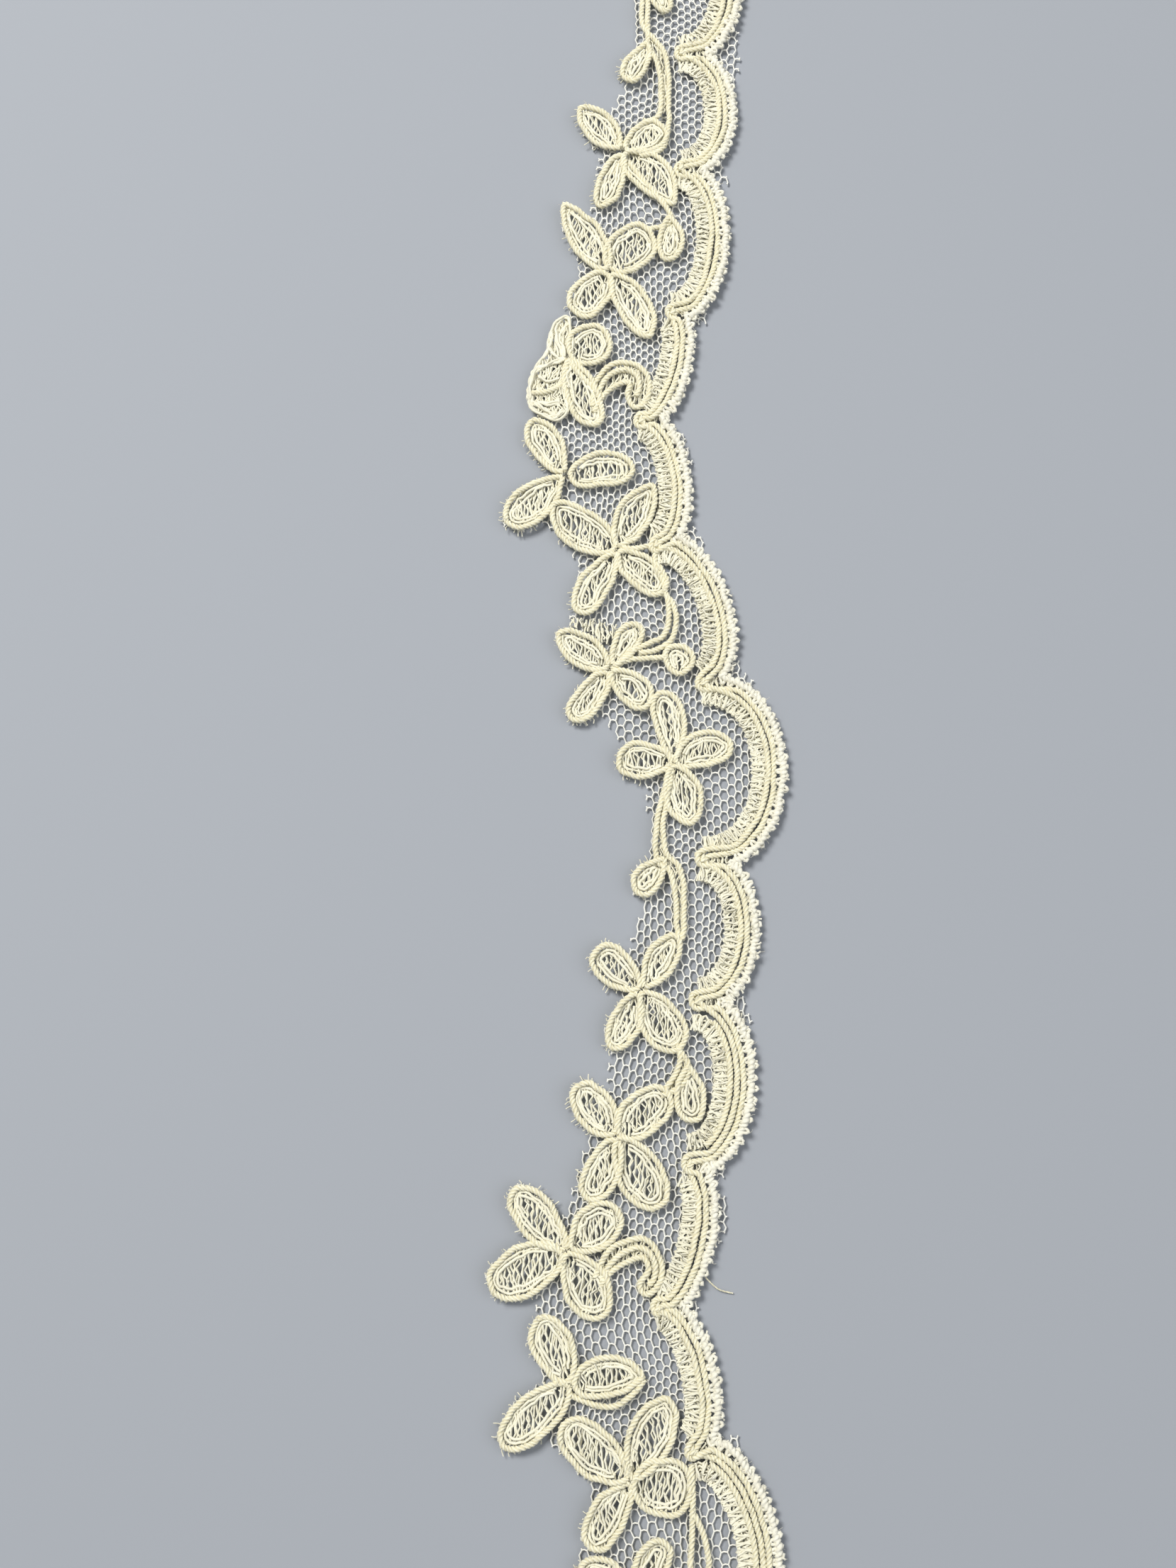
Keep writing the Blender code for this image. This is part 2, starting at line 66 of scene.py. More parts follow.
class Petal(NamedTuple):
    """A petal of a flower: its heading in degrees from +X, and its reach and breadth over the cord.

    A higher tip power makes a more pointed tip, a higher root power a narrower root, and the bow is how far
    the middle of the petal lies off the line from root to tip, to the left of its heading.
    """

    heading: float
    reach: float
    breadth: float
    tip_power: float = 0.5
    root_power: float = 0.65
    bow: float = 0.0


class Bud(NamedTuple):
    """A petal that grows from a stem at its own base."""

    base: Spot
    heading: float
    reach: float
    breadth: float
    tip_power: float = 0.45
    root_power: float = 0.7
    bow: float = 0.0


class Flower(NamedTuple):
    """A flower's middle with its petals, buds and stems."""

    centre: Spot
    petals: tuple[Petal, ...]
    buds: tuple[Bud, ...] = ()
    stems: tuple[Line, ...] = ()


SPRAYS: tuple[tuple[Flower, ...], ...] = (
    (
        Flower((9.7, 124.3), (Petal(-78, 8.7, 3.5), Petal(168, 8.6, 5.2), Petal(19, 9.0, 5.2))),
    ),
    (
        Flower(
            (5.2, 93.5),
            (
                Petal(134, 9.5, 5.0, 0.62), Petal(33, 7.2, 5.2, 0.36),
                Petal(-112, 9.7, 4.0), Petal(-50, 11.4, 6.0, 0.8, 0.48, 0.7),
            ),
            (Bud((9.0, 111.0), -118, 7.3, 3.8), Bud((11.8, 83.4), -90, 7.5, 4.0)),
            (
                (
                    (8.8, 119.0), (8.8, 111.0), (10.2, 107.4), (10.7, 102.8), (10.5, 99.6), (9.4, 98.4),
                    (8.0, 98.4),
                ),
                (
                    (7.9, 119.0), (8.1, 113.5), (9.6, 111.6), (11.3, 109.0), (11.8, 105.0), (11.8, 100.5),
                    (11.7, 97.0), (11.0, 94.0), (9.4, 92.9), (7.4, 92.7),
                ),
                ((6.0, 91.6), (8.6, 88.2), (11.2, 84.6), (12.0, 82.8), (10.8, 81.6), (8.6, 81.2)),
            ),
        ),
        Flower(
            (3.1, 74.6),
            (
                Petal(123, 12.6, 5.3, 0.78, 0.6), Petal(50, 8.8, 6.8, 0.4, 0.45),
                Petal(-127, 8.3, 5.9, 0.38, 0.55), Petal(-61, 11.8, 5.4, 0.55, 0.7, 0.5),
            ),
        ),
    ),
    (
        Flower(
            (-3.0, 61.5),
            (
                Petal(31, 7.0, 6.6, 0.42, 0.42), Petal(-69, 11.3, 5.2, 0.48, 0.75),
            ),
            (),
            (
                (
                    (0.6, 54.0), (1.0, 57.6), (3.1, 60.2), (5.6, 60.8), (7.7, 59.7), (8.7, 57.6),
                    (8.4, 55.2), (7.2, 54.0), (6.0, 54.4), (5.4, 56.0), (5.8, 57.6), (4.2, 57.3),
                    (1.8, 55.2), (0.8, 53.2),
                ),
                ((-2.6, 61.0), (-0.8, 58.6), (1.2, 56.4), (2.4, 55.4)),
                ((1.2, 55.2), (2.2, 57.7), (3.8, 59.1), (5.6, 59.5), (6.9, 58.6), (7.2, 56.9), (6.7, 55.5)),
                ((-2.8, 61.0), (-3.0, 59.6), (-3.7, 57.6), (-5.4, 56.5), (-7.9, 55.9)),
            ),
        ),
    ),
    (
        Flower((-3.2, 43.6), (
            Petal(119, 9.8, 4.9), Petal(9, 9.7, 5.5, 0.4, 0.5, 0.3),
            Petal(-139, 10.6, 5.8, 0.48, 0.8),
        )),
        Flower(
            (3.8, 33.0),
            (
                Petal(143, 11.2, 6.2, 0.6, 0.6, 0.6), Petal(62, 10.9, 5.1, 0.6, 0.6),
                Petal(-119, 10.6, 4.8, 0.45), Petal(-42, 9.2, 5.0),
            ),
            (),
            (
                (
                    (4.5, 33.4), (6.5, 33.0), (8.9, 33.2), (9.4, 30.4), (10.7, 27.4), (11.0, 23.3),
                    (10.3, 20.8), (8.3, 19.5), (6.1, 18.6), (4.9, 17.4),
                ),
                ((10.3, 27.0), (11.8, 25.0), (12.0, 22.3), (11.2, 19.8), (9.2, 18.6), (7.0, 18.2)),
            ),
        ),
        Flower(
            (3.1, 16.0),
            (
                Petal(146, 9.2, 4.7, 0.65), Petal(59, 7.6, 4.1, 0.5, 0.8),
                Petal(-126, 9.2, 4.4, 0.42), Petal(-45, 7.5, 4.7, 0.45),
            ),
            (Bud((12.3, 14.5), 89, 5.0, 4.3),),
            (((9.4, 17.6), (11.0, 17.8)), ((3.1, 16.0), (5.5, 17.2), (8.0, 17.4), (11.0, 17.8))),
        ),
    ),
    (
        Flower(
            (11.7, 3.0),
            (
                Petal(98, 10.1, 4.8, 0.42), Petal(17, 8.3, 5.4, 0.5, 0.6, 0.6),
                Petal(175, 7.9, 5.4, 0.42, 0.6), Petal(-77, 9.0, 5.5, 0.6, 0.6),
            ),
            (Bud((10.2, -10.0), -128, 6.2, 4.0),),
            (
                (
                    (11.4, 2.0), (10.0, -1.6), (9.2, -5.2), (9.1, -10.0), (10.9, -11.6), (11.5, -14.8),
                    (11.8, -19.0), (12.1, -20.6), (12.0, -21.6),
                ),
                (
                    (11.2, 1.0), (10.3, -3.0), (10.1, -6.0), (10.4, -9.3), (12.2, -11.4), (12.8, -15.5),
                    (12.6, -20.0), (12.4, -21.0),
                ),
            ),
        ),
    ),
    (
        Flower(
            (7.0, -27.6),
            (
                Petal(139, 8.4, 5.2, 0.42), Petal(57, 8.7, 4.6, 0.52),
                Petal(-117, 8.8, 4.4), Petal(-58, 9.3, 5.6, 0.45),
            ),
            (Bud((13.1, -37.2), -88, 7.4, 4.1),),
            (
                ((11.6, -34.6), (13.0, -37.2), (12.5, -39.3), (11.1, -40.7), (9.7, -41.2)),
                ((11.8, -35.2), (12.0, -36.6), (11.2, -38.7), (10.2, -40.3)),
            ),
        ),
        Flower(
            (3.7, -46.4),
            (
                Petal(128, 8.6, 5.2, 0.45, 0.5), Petal(41, 8.9, 5.9, 0.42, 0.5),
                Petal(-114, 9.1, 5.0, 0.45, 0.55), Petal(-58, 10.8, 6.2),
            ),
        ),
    ),
    (
        Flower(
            (-2.9, -60.7),
            (
                Petal(131, 10.5, 5.5), Petal(36, 8.6, 5.8, 0.42),
                Petal(-155, 10.8, 6.5, 0.4, 0.48), Petal(-59, 9.5, 6.2, 0.45),
            ),
            (),
            (
                (
                    (1.0, -64.0), (2.0, -61.4), (3.7, -59.8), (6.2, -59.1), (8.2, -59.9), (9.3, -62.3),
                    (9.2, -64.3), (8.3, -65.7), (7.1, -66.0), (6.6, -64.8), (7.6, -63.2), (7.0, -61.6),
                    (5.0, -62.0), (2.9, -63.3), (1.6, -65.0),
                ),
                (
                    (1.8, -64.4), (2.8, -62.3), (4.4, -60.9), (6.3, -60.3), (7.8, -61.0), (8.5, -62.8),
                    (8.3, -64.4), (7.7, -65.0),
                ),
            ),
        ),
    ),
    (
        Flower(
            (-2.2, -76.9),
            (
                Petal(117, 9.5, 5.5, 0.6, 0.6), Petal(6, 9.8, 5.4, 0.8, 0.55, 0.5),
                Petal(-140, 11.5, 5.5, 0.45, 0.6),
            ),
            (),
            (((-2.6, -77.9), (0.5, -79.3), (3.2, -79.5), (5.6, -78.2), (7.2, -76.3)),),
        ),
    ),
    (
        Flower(
            (5.3, -88.3),
            (
                Petal(141, 11.0, 5.9, 0.5, 0.6, 0.3), Petal(63, 11.1, 5.9, 0.52),
                Petal(-123, 9.7, 4.9, 0.45), Petal(-11, 7.9, 7.2, 0.36, 0.5),
            ),
            (),
            (
                ((12.8, -86.6), (13.1, -89.3), (13.0, -93.4), (12.6, -98.5), (12.4, -108.0)),
                ((13.0, -91.8), (14.4, -95.0), (14.8, -98.5), (14.4, -108.0)),
            ),
        ),
    ),
    (
        Flower(
            (5.5, -102.4),
            (Petal(145, 7.8, 5.0), Petal(61, 8.4, 4.5), Petal(-12, 8.0, 5.0), Petal(-84, 8.8, 4.6)),
        ),
    ),
)

FLOWERS: tuple[Flower, ...] = tuple(flower for spray in SPRAYS for flower in spray)

# The inner ends of the notches between the scallops
CUSPS: Line = (
    (13.3, 133.9), (13.0, 109.2), (12.7, 90.7), (11.3, 68.3), (6.7, 52.0), (8.7, 33.7), (14.9, 14.1),
    (14.6, -10.1), (13.6, -28.9), (12.3, -49.8), (8.1, -67.6), (12.3, -84.8), (18.9, -104.0),
    (18.6, -128.0),
)

# How far each scallop's outline stands out from the line between its cusps, and how many cords follow it
SCALLOP_DEPTHS = (10.0, 9.0, 8.4, 5.7, 6.9, 8.2, 12.2, 8.8, 9.1, 6.3, 6.4, 8.0, 12.0)
SCALLOP_CORDS = (2, 2, 2, 2, 2, 2, 2, 2, 3, 2, 2, 3, 2)

CUT_EDGE: Line = (
    (7.1, 127.3), (6.6, 118.0), (7.0, 111.5), (5.2, 104.0), (3.1, 100.5), (2.6, 95.0), (1.1, 91.5),
    (0.4, 84.2), (-0.6, 78.0), (-1.7, 74.8), (-3.5, 68.0), (-5.0, 62.0), (-6.6, 54.0), (-6.4, 49.0),
    (-5.7, 44.7), (-5.8, 36.6), (-1.2, 31.3), (-2.9, 23.3), (-0.8, 18.0), (0.3, 14.6), (2.0, 8.9),
    (4.8, 5.5), (7.6, 1.0), (8.1, -6.0), (7.6, -15.7), (5.7, -20.4), (4.0, -28.3), (2.8, -35.7),
    (2.5, -39.8), (0.6, -44.0), (-0.4, -47.9), (-2.4, -54.7), (-6.0, -60.3), (-6.7, -67.9), (-6.5, -76.0),
    (-5.3, -83.8), (0.5, -89.3), (-0.6, -94.0), (-1.3, -97.1), (0.0, -106.6),
)

# Clothwork that is bunched up between the petals of the third spray's flower
CRUMPLED: Line = (
    (-2.6, 67.2), (-3.7, 67.5), (-4.7, 66.3), (-5.3, 63.9), (-6.0, 61.8), (-7.2, 59.9), (-8.1, 57.8),
    (-8.3, 56.1), (-8.0, 53.7), (-6.5, 52.8), (-4.5, 52.2), (-3.2, 53.1), (-2.7, 55.5), (-3.0, 58.4),
    (-2.4, 61.2),
)

# Small areas of clothwork beside the petals
FILLED_CORNERS: tuple[Line, ...] = (
    (
        (8.8, 111.0), (9.6, 111.6), (11.3, 109.0), (11.8, 105.0), (11.8, 100.5), (10.5, 99.6),
        (10.7, 102.8), (10.2, 107.4),
    ),
    (
        (-2.4, 23.5), (-0.3, 22.8), (2.3, 22.8), (3.7, 21.9), (3.3, 20.4), (2.2, 19.6), (1.0, 20.6),
        (-0.7, 21.7), (-2.6, 22.2),
    ),
    ((11.2, 1.0), (10.3, -3.0), (10.1, -6.0), (10.4, -9.3), (9.1, -10.0), (9.2, -5.2), (10.0, -1.6)),
    (
        (9.1, -10.0), (10.4, -9.3), (12.2, -11.4), (12.8, -15.5), (12.6, -20.0), (11.8, -19.0),
        (11.5, -14.8), (10.9, -11.6),
    ),
    (
        (12.2, -35.7), (13.3, -37.3), (12.6, -39.3), (11.2, -40.9), (9.9, -40.6), (11.0, -38.7),
        (11.7, -36.5),
    ),
)

# The ridges of the crumpled folds
FOLDS: tuple[Line, ...] = (
    ((-3.3, 61.2), (-5.1, 60.5), (-6.9, 59.8), (-7.8, 58.4), (-8.2, 56.4), (-8.0, 53.9)),
    ((-2.9, 66.8), (-3.7, 64.6), (-3.4, 61.5)),
    ((-4.3, 66.6), (-4.6, 64.5), (-3.9, 61.8)),
    ((-5.6, 62.9), (-4.8, 61.6), (-3.4, 61.0)),
    ((-8.2, 55.2), (-6.5, 54.0), (-4.5, 52.4), (-3.4, 53.4)),
    ((-7.0, 58.6), (-5.6, 57.9), (-4.2, 57.9)),
    ((-7.2, 54.8), (-5.6, 54.2), (-4.0, 54.6)),
)

# Scraps of net left uncut outside the notches, which end in pointed stubs
SCRAPS: tuple[Line, ...] = (
    ((14.5, 110.8), (20.6, 113.8), (22.4, 113.0), (22.3, 108.6), (21.8, 104.4), (19.6, 105.4)),
    ((14.0, 92.2), (19.4, 92.4), (20.6, 88.7), (14.5, 88.0)),
    ((12.5, 69.2), (16.4, 69.8), (17.4, 66.6), (13.0, 66.6)),
    ((8.0, 53.0), (11.9, 52.6), (14.5, 48.4), (14.8, 45.6), (12.6, 46.2), (9.0, 50.5)),
    ((10.4, 35.4), (15.0, 37.0), (16.4, 33.6), (10.8, 32.0)),
    ((16.5, 16.0), (19.4, 17.6), (20.4, 17.2), (23.0, 13.9), (22.2, 12.4), (16.0, 13.0)),
    ((16.5, -8.6), (20.0, -10.6), (20.8, -12.9), (16.6, -11.8)),
    ((15.0, -27.2), (19.5, -27.6), (20.8, -28.6), (21.6, -32.3), (15.8, -30.4)),
    ((13.8, -48.4), (17.6, -48.6), (18.2, -51.6), (13.6, -51.4)),
    ((14.6, -52.0), (17.0, -53.4), (18.4, -55.9), (17.5, -59.9), (15.4, -60.6)),
    ((9.6, -66.4), (13.4, -66.0), (14.4, -69.2), (9.6, -69.2)),
    ((13.8, -83.6), (18.6, -83.4), (20.0, -86.0), (14.4, -86.6)),
    ((20.2, -103.0), (23.6, -102.6), (24.6, -105.8), (20.4, -105.6)),
)

# Places at a cusp, by their distance outwards and along the trim: where the inner and the outer cord turn,
# the knot that lies over them, and the clothwork between the two scallops
INNER_TURN: Line = ((0.5, 1.0), (0.0, 0.0), (0.5, -1.0))
OUTER_TURN: Line = ((1.1, 0.25), (0.95, -0.35))
CUSP_KNOT: Line = ((0.62, 0.45), (0.85, 0.15), (0.72, -0.2), (0.6, -0.5))
CUSP_PATCH: Line = ((0.9, 0.0), (3.2, 1.5), (4.6, 0.2), (3.2, -1.5))

# The thread end that has come out of the border below the middle
LOOSE_END: Line = ((14.0, -62.9), (15.1, -64.1), (16.0, -65.0), (16.9, -65.6), (18.5, -66.0))

CUT_TOP = 127.0
CUT_BOTTOM = -106.5
FIELD_SIDES = (-16.0, 30.0)
CORD_RADIUS = 0.385
CORD_PITCH = 0.86
OUTLINE_OFFSET = 1.85
SCALLOP_FULLNESS = 0.8
LADDER_REACH = 2.95
LADDER_GAP = 0.1

# A stem of more points than this is a scroll, with clothwork inside it
SCROLL_POINTS = 12


class Layer(Enum):
    """The heights in millimetres of the middle lines of what lies on each other."""

    NET = 0.5
    CLOTHWORK = 1.1
    LADDER = 1.15
    CORD = 1.52
    PICOT = 1.35


def operator(operation: str, reflected: bool = False) -> Callable[["Value", Any], "Value"]:
    """A method of a value for one of Python's operators.

    Args:
        operation: The Math node's operation.
        reflected: Whether the value stands after the operator.

    Returns:
        The method.
    """
    def method(value: "Value", other: Any) -> "Value":
        """Add the operator's Math node."""
        return value.math(operation, other, value) if reflected else value.math(operation, value, other)
    return method


class Value:
    """A socket that takes part in Python expressions, each of which adds its Math node."""

    __add__, __radd__ = operator("ADD"), operator("ADD", reflected=True)
    __sub__, __rsub__ = operator("SUBTRACT"), operator("SUBTRACT", reflected=True)
    __mul__, __rmul__ = operator("MULTIPLY"), operator("MULTIPLY", reflected=True)
    __truediv__, __rtruediv__ = operator("DIVIDE"), operator("DIVIDE", reflected=True)
    __pow__, __rpow__ = operator("POWER"), operator("POWER", reflected=True)

    def __init__(self, tree: "Tree", socket: bpy.types.NodeSocket) -> None:
        """Wrap an output socket of a tree."""
        self.tree = tree
        self.socket = socket

    def math(self, operation: str, first: Any, second: Any = 0.0) -> "Value":
        """Add a Math node.

        Args:
            operation: The Math node's operation.
            first: Its first value or link.
            second: Its second value or link.

        Returns:
            The node's result.
        """
        return self.tree.out("ShaderNodeMath", {"operation": operation}, {0: first, 1: second})

    def __abs__(self) -> "Value":
        """This without its sign."""
        return self.math("ABSOLUTE", self)

    def cos(self) -> "Value":
        """The cosine of this angle."""
        return self.math("COSINE", self)

    def sin(self) -> "Value":
        """The sine of this angle."""
        return self.math("SINE", self)

    def clamped(self) -> "Value":
        """This kept between 0 and 1."""
        return self.tree.out("ShaderNodeClamp", sockets={"Value": self})


class Tree:
    """A node tree with one method that makes any node."""

    def __init__(self, tree: bpy.types.NodeTree) -> None:
        """Wrap a tree of Blender's."""
        self.tree = tree

    def node(self, kind: str, settings: dict[str, Any] | None = None,
             sockets: dict[Any, Any] | None = None) -> bpy.types.Node:
        """Make a node.

        Args:
            kind: The node's type.
            settings: Its settings, set first.
            sockets: The values or links of its inputs, by name or number.

        Returns:
            The node.
        """
        made = self.tree.nodes.new(kind)
        for name, value in (settings or {}).items():
            setattr(made, name, value)
        for key, value in (sockets or {}).items():
            if isinstance(value, Value):
                self.tree.links.new(value.socket, made.inputs[key])
            else:
                made.inputs[key].default_value = value
        return made

    def out(self, kind: str, settings: dict[str, Any] | None = None,
            sockets: dict[Any, Any] | None = None, output: Any = 0) -> Value:
        """Make a node and give one of its outputs.

        Args:
            kind: The node's type.
            settings: Its settings.
            sockets: The values or links of its inputs.
            output: The output's name or number.

        Returns:
            That output.
        """
        return Value(self, self.node(kind, settings, sockets).outputs[output])

    def noise(self, place: Value, scale: Any, detail: float, roughness: float = 0.5) -> Value:
        """Smooth noise.

        Args:
            place: Where it is read.
            scale: How often it changes.
            detail: How many finer layers it has.
            roughness: How strong those are.

        Returns:
            The noise, between 0 and 1.
        """
        return self.out("ShaderNodeTexNoise", sockets={
            "Vector": place, "Scale": scale, "Detail": detail, "Roughness": roughness,
        })


@dataclass(frozen=True)
class YarnFinish:
    """Matt cotton: fibres that follow the yarn's twist, in uneven patches of lighter and darker cream, with
    painted shade darkening the seams between a cord's plies.
    """

    name: str
    light: Colour
    shade: Colour
    # How strongly the seams between plies get painted shade in the colour, and how deep their bump groove is
    seam_shade_and_groove_depth: float = 0.0
    seam_width: float = 0.1
    roughness: float = 0.85
    roughness_swing: float = 0.2
    sheen: float = 0.35
    sheen_roughness: float = 0.5
    gloss: float = 0.25
    fibre_scale: float = 2.2
    fibre_stretch: float = 0.22
    fibre_depth: float = 0.00006
    bump_strength: float = 0.8
    patch_scale: float = 420.0
    grain_scale: float = 2300.0
    fibre_share: float = 0.9
    patch_share: float = 0.5
    grain_share: float = 0.7
    darkening: float = 0.47

    def material(self) -> bpy.types.Material:
        """The finish as a material that reads the yarn's own attribute."""
        made = bpy.data.materials.new(self.name)
        made.use_nodes = True
        made.node_tree.nodes.clear()
        tree = Tree(made.node_tree)
        yarn = tree.out("ShaderNodeAttribute", {"attribute_name": "yarn"}, output="Vector")
        place = tree.out("ShaderNodeTexCoord", output="Object")
        along_fibres = tree.out(
            "ShaderNodeVectorMath", {"operation": "MULTIPLY"},
            {0: yarn, 1: (1.0, 1.0, self.fibre_stretch)},
        )
        fibres = tree.noise(along_fibres, self.fibre_scale, 3.0, 0.65)
        patches = tree.noise(place, self.patch_scale, 2.0)
        grain = tree.noise(place, self.grain_scale, 1.0)
        across = tree.out("ShaderNodeSeparateXYZ", sockets={"Vector": yarn}, output="X")
        # The cosine of the triple angle has one wave for each of three plies
        lobe = across * across * across * 4.0 - across * 3.0
        # Painted shade: the colour darkens in the seams between the plies, where the grooves lie in shade;
        # the same mask also deepens the bump there
        seam_shade_and_groove = (self.seam_width - lobe).clamped() * self.seam_shade_and_groove_depth
        light = fibres * self.fibre_share + patches * self.patch_share + grain * self.grain_share
        colour = tree.out("ShaderNodeMix", {"data_type": "RGBA"}, {
            "Factor": (light - self.darkening - seam_shade_and_groove).clamped(),
            6: (*self.shade, 1.0), 7: (*self.light, 1.0),
        }, output=2)
        bump = tree.out("ShaderNodeBump", sockets={
            "Height": fibres - seam_shade_and_groove, "Distance": self.fibre_depth, "Strength": self.bump_strength,
        })
        smoothest = self.roughness - self.roughness_swing / 2
        shader = tree.out("ShaderNodeBsdfPrincipled", sockets={
            "Base Color": colour, "Roughness": (fibres * self.roughness_swing + smoothest).clamped(),
            "Normal": bump, "Sheen Weight": self.sheen, "Sheen Roughness": self.sheen_roughness,
            "Specular IOR Level": self.gloss,
        })
        tree.node("ShaderNodeOutputMaterial", sockets={"Surface": shader})
        return made


@dataclass(frozen=True)
class FloorFinish:
    """A plain pale cool grey studio floor."""

    name: str = "studio_floor"
    colour: Colour = (0.34, 0.36, 0.39)
    roughness: float = 0.9

    def material(self) -> bpy.types.Material:
        """The floor's plain material."""
        made = bpy.data.materials.new(self.name)
        made.use_nodes = True
        shader = made.node_tree.nodes["Principled BSDF"]
        shader.inputs["Base Color"].default_value = (*self.colour, 1.0)
        shader.inputs["Roughness"].default_value = self.roughness
        return made


class Growth(Tree):
    """A Geometry Nodes tree that grows yarn from a guide mesh."""

    kinds = {float: "NodeSocketFloat", int: "NodeSocketInt", type(None): "NodeSocketMaterial"}

    def __init__(self, name: str, sizes: dict[str, float | int]) -> None:
        """Start the tree.

        Args:
            name: The tree's name.
            sizes: Each input's default value, by its label.
        """
        group = bpy.data.node_groups.new(name, "GeometryNodeTree")
        super().__init__(group)
        group.interface.new_socket("Geometry", in_out="INPUT", socket_type="NodeSocketGeometry")
        group.interface.new_socket("Geometry", in_out="OUTPUT", socket_type="NodeSocketGeometry")
        self.identifiers: dict[str, str] = {}
        for label, default in {**sizes, "Material": None}.items():
            socket = group.interface.new_socket(label, in_out="INPUT", socket_type=self.kinds[type(default)])
            if default is not None:
                socket.default_value = default
            self.identifiers[label] = socket.identifier
        self.entry = group.nodes.new("NodeGroupInput")

    def given(self, label: str) -> Value:
        """The input of that label."""
        return Value(self, self.entry.outputs[label])

    def guide(self) -> Value:
        """The guide mesh's lines as curves."""
        return self.out("GeometryNodeMeshToCurve", sockets={"Mesh": self.given("Geometry")})

    def length(self) -> Value:
        """The length along a curve up to a point."""
        return self.out("GeometryNodeSplineParameter", output="Length")

    def share(self) -> Value:
        """The share of a curve's length up to a point."""
        return self.out("GeometryNodeSplineParameter", output="Factor")

    def ring(self, radius: Value, sides: Any) -> Value:
        """A round cross-section."""
        return self.out("GeometryNodeCurvePrimitiveCircle", {"mode": "RADIUS"}, {
            "Resolution": sides, "Radius": radius,
        })

    def stored(self, geometry: Value, name: str, value: Value, kind: str = "FLOAT") -> Value:
        """Keep a value at each point as a named attribute.

        Args:
            geometry: What has the points.
            name: The attribute's name.
            value: What it holds.
            kind: Its type.

        Returns:
            The geometry with the attribute.
        """
        return self.out("GeometryNodeStoreNamedAttribute", {"data_type": kind, "domain": "POINT"}, {
            "Geometry": geometry, "Name": name, "Value": value,
        })

    def swept(self, spine: Value, profile: Value) -> Value:
        """Sweep a profile along a spine and keep the place round and along the yarn.

        Args:
            spine: The curves to follow.
            profile: The cross-section.

        Returns:
            The mesh, with the attribute that the yarn's finish reads.
        """
        along, turn = self.length() / MM, self.share() * math.tau
        mesh = self.out("GeometryNodeCurveToMesh", sockets={
            "Curve": self.stored(spine, "along", along), "Profile Curve": self.stored(profile, "turn", turn),
            "Fill Caps": True,
        })
        along, turn = (
            self.out("GeometryNodeInputNamedAttribute", {"data_type": "FLOAT"}, {"Name": name})
            for name in ("along", "turn")
        )
        yarn = self.out("ShaderNodeCombineXYZ", sockets={"X": turn.cos(), "Y": turn.sin(), "Z": along})
        return self.stored(mesh, "yarn", yarn, "FLOAT_VECTOR")

    def scattered(self, points: bpy.types.Node, shape: Value, size: Value, low: Sequence[float],
                  high: Sequence[float]) -> Value:
        """Copies of a shape at points, each turned at random from the point's own rotation.

        Args:
            points: The node that gives the points and their rotations.
            shape: What is copied.
            size: The copies' size.
            low: The least turn about each axis.
            high: The most turn about each axis.

        Returns:
            The copies.
        """
        copies = self.out("GeometryNodeInstanceOnPoints", sockets={
            "Points": Value(self, points.outputs["Points"]), "Instance": shape,
            "Rotation": Value(self, points.outputs["Rotation"]),
            "Scale": self.out("ShaderNodeCombineXYZ", sockets={"X": size, "Y": size, "Z": size}),
        })
        turn = self.out("FunctionNodeRandomValue", {"data_type": "FLOAT_VECTOR"}, {
            0: low, 1: high, "Seed": self.given("Seed"),
        })
        return self.out("GeometryNodeRotateInstances", sockets={"Instances": copies, "Rotation": turn})

    def finish(self, geometry: Value) -> None:
        """End the tree: real geometry, smooth, in its material.

        Args:
            geometry: What the tree has grown.
        """
        real = self.out("GeometryNodeRealizeInstances", sockets={"Geometry": geometry})
        smooth = self.out("GeometryNodeSetShadeSmooth", sockets={"Geometry": real})
        dressed = self.out("GeometryNodeSetMaterial", sockets={
            "Geometry": smooth, "Material": self.given("Material"),
        })
        end = self.tree.nodes.new("NodeGroupOutput")
        self.tree.links.new(dressed.socket, end.inputs[0])


def thread_growth() -> Growth:
    """A tree for plain threads, thicker at both ends of each run, where they are knotted to others."""
    tree = Growth("plain_threads", {"Radius": 0.00014, "Sides": 4, "Knot": 0.0})
    middle = tree.share() * 2.0 - 1.0
    swell = abs(middle) ** 3.0 * tree.given("Knot") + 1.0
    spine = tree.out("GeometryNodeSetCurveRadius", sockets={"Curve": tree.guide(), "Radius": swell})
    tree.finish(tree.swept(spine, tree.ring(tree.given("Radius"), tree.given("Sides"))))
    return tree


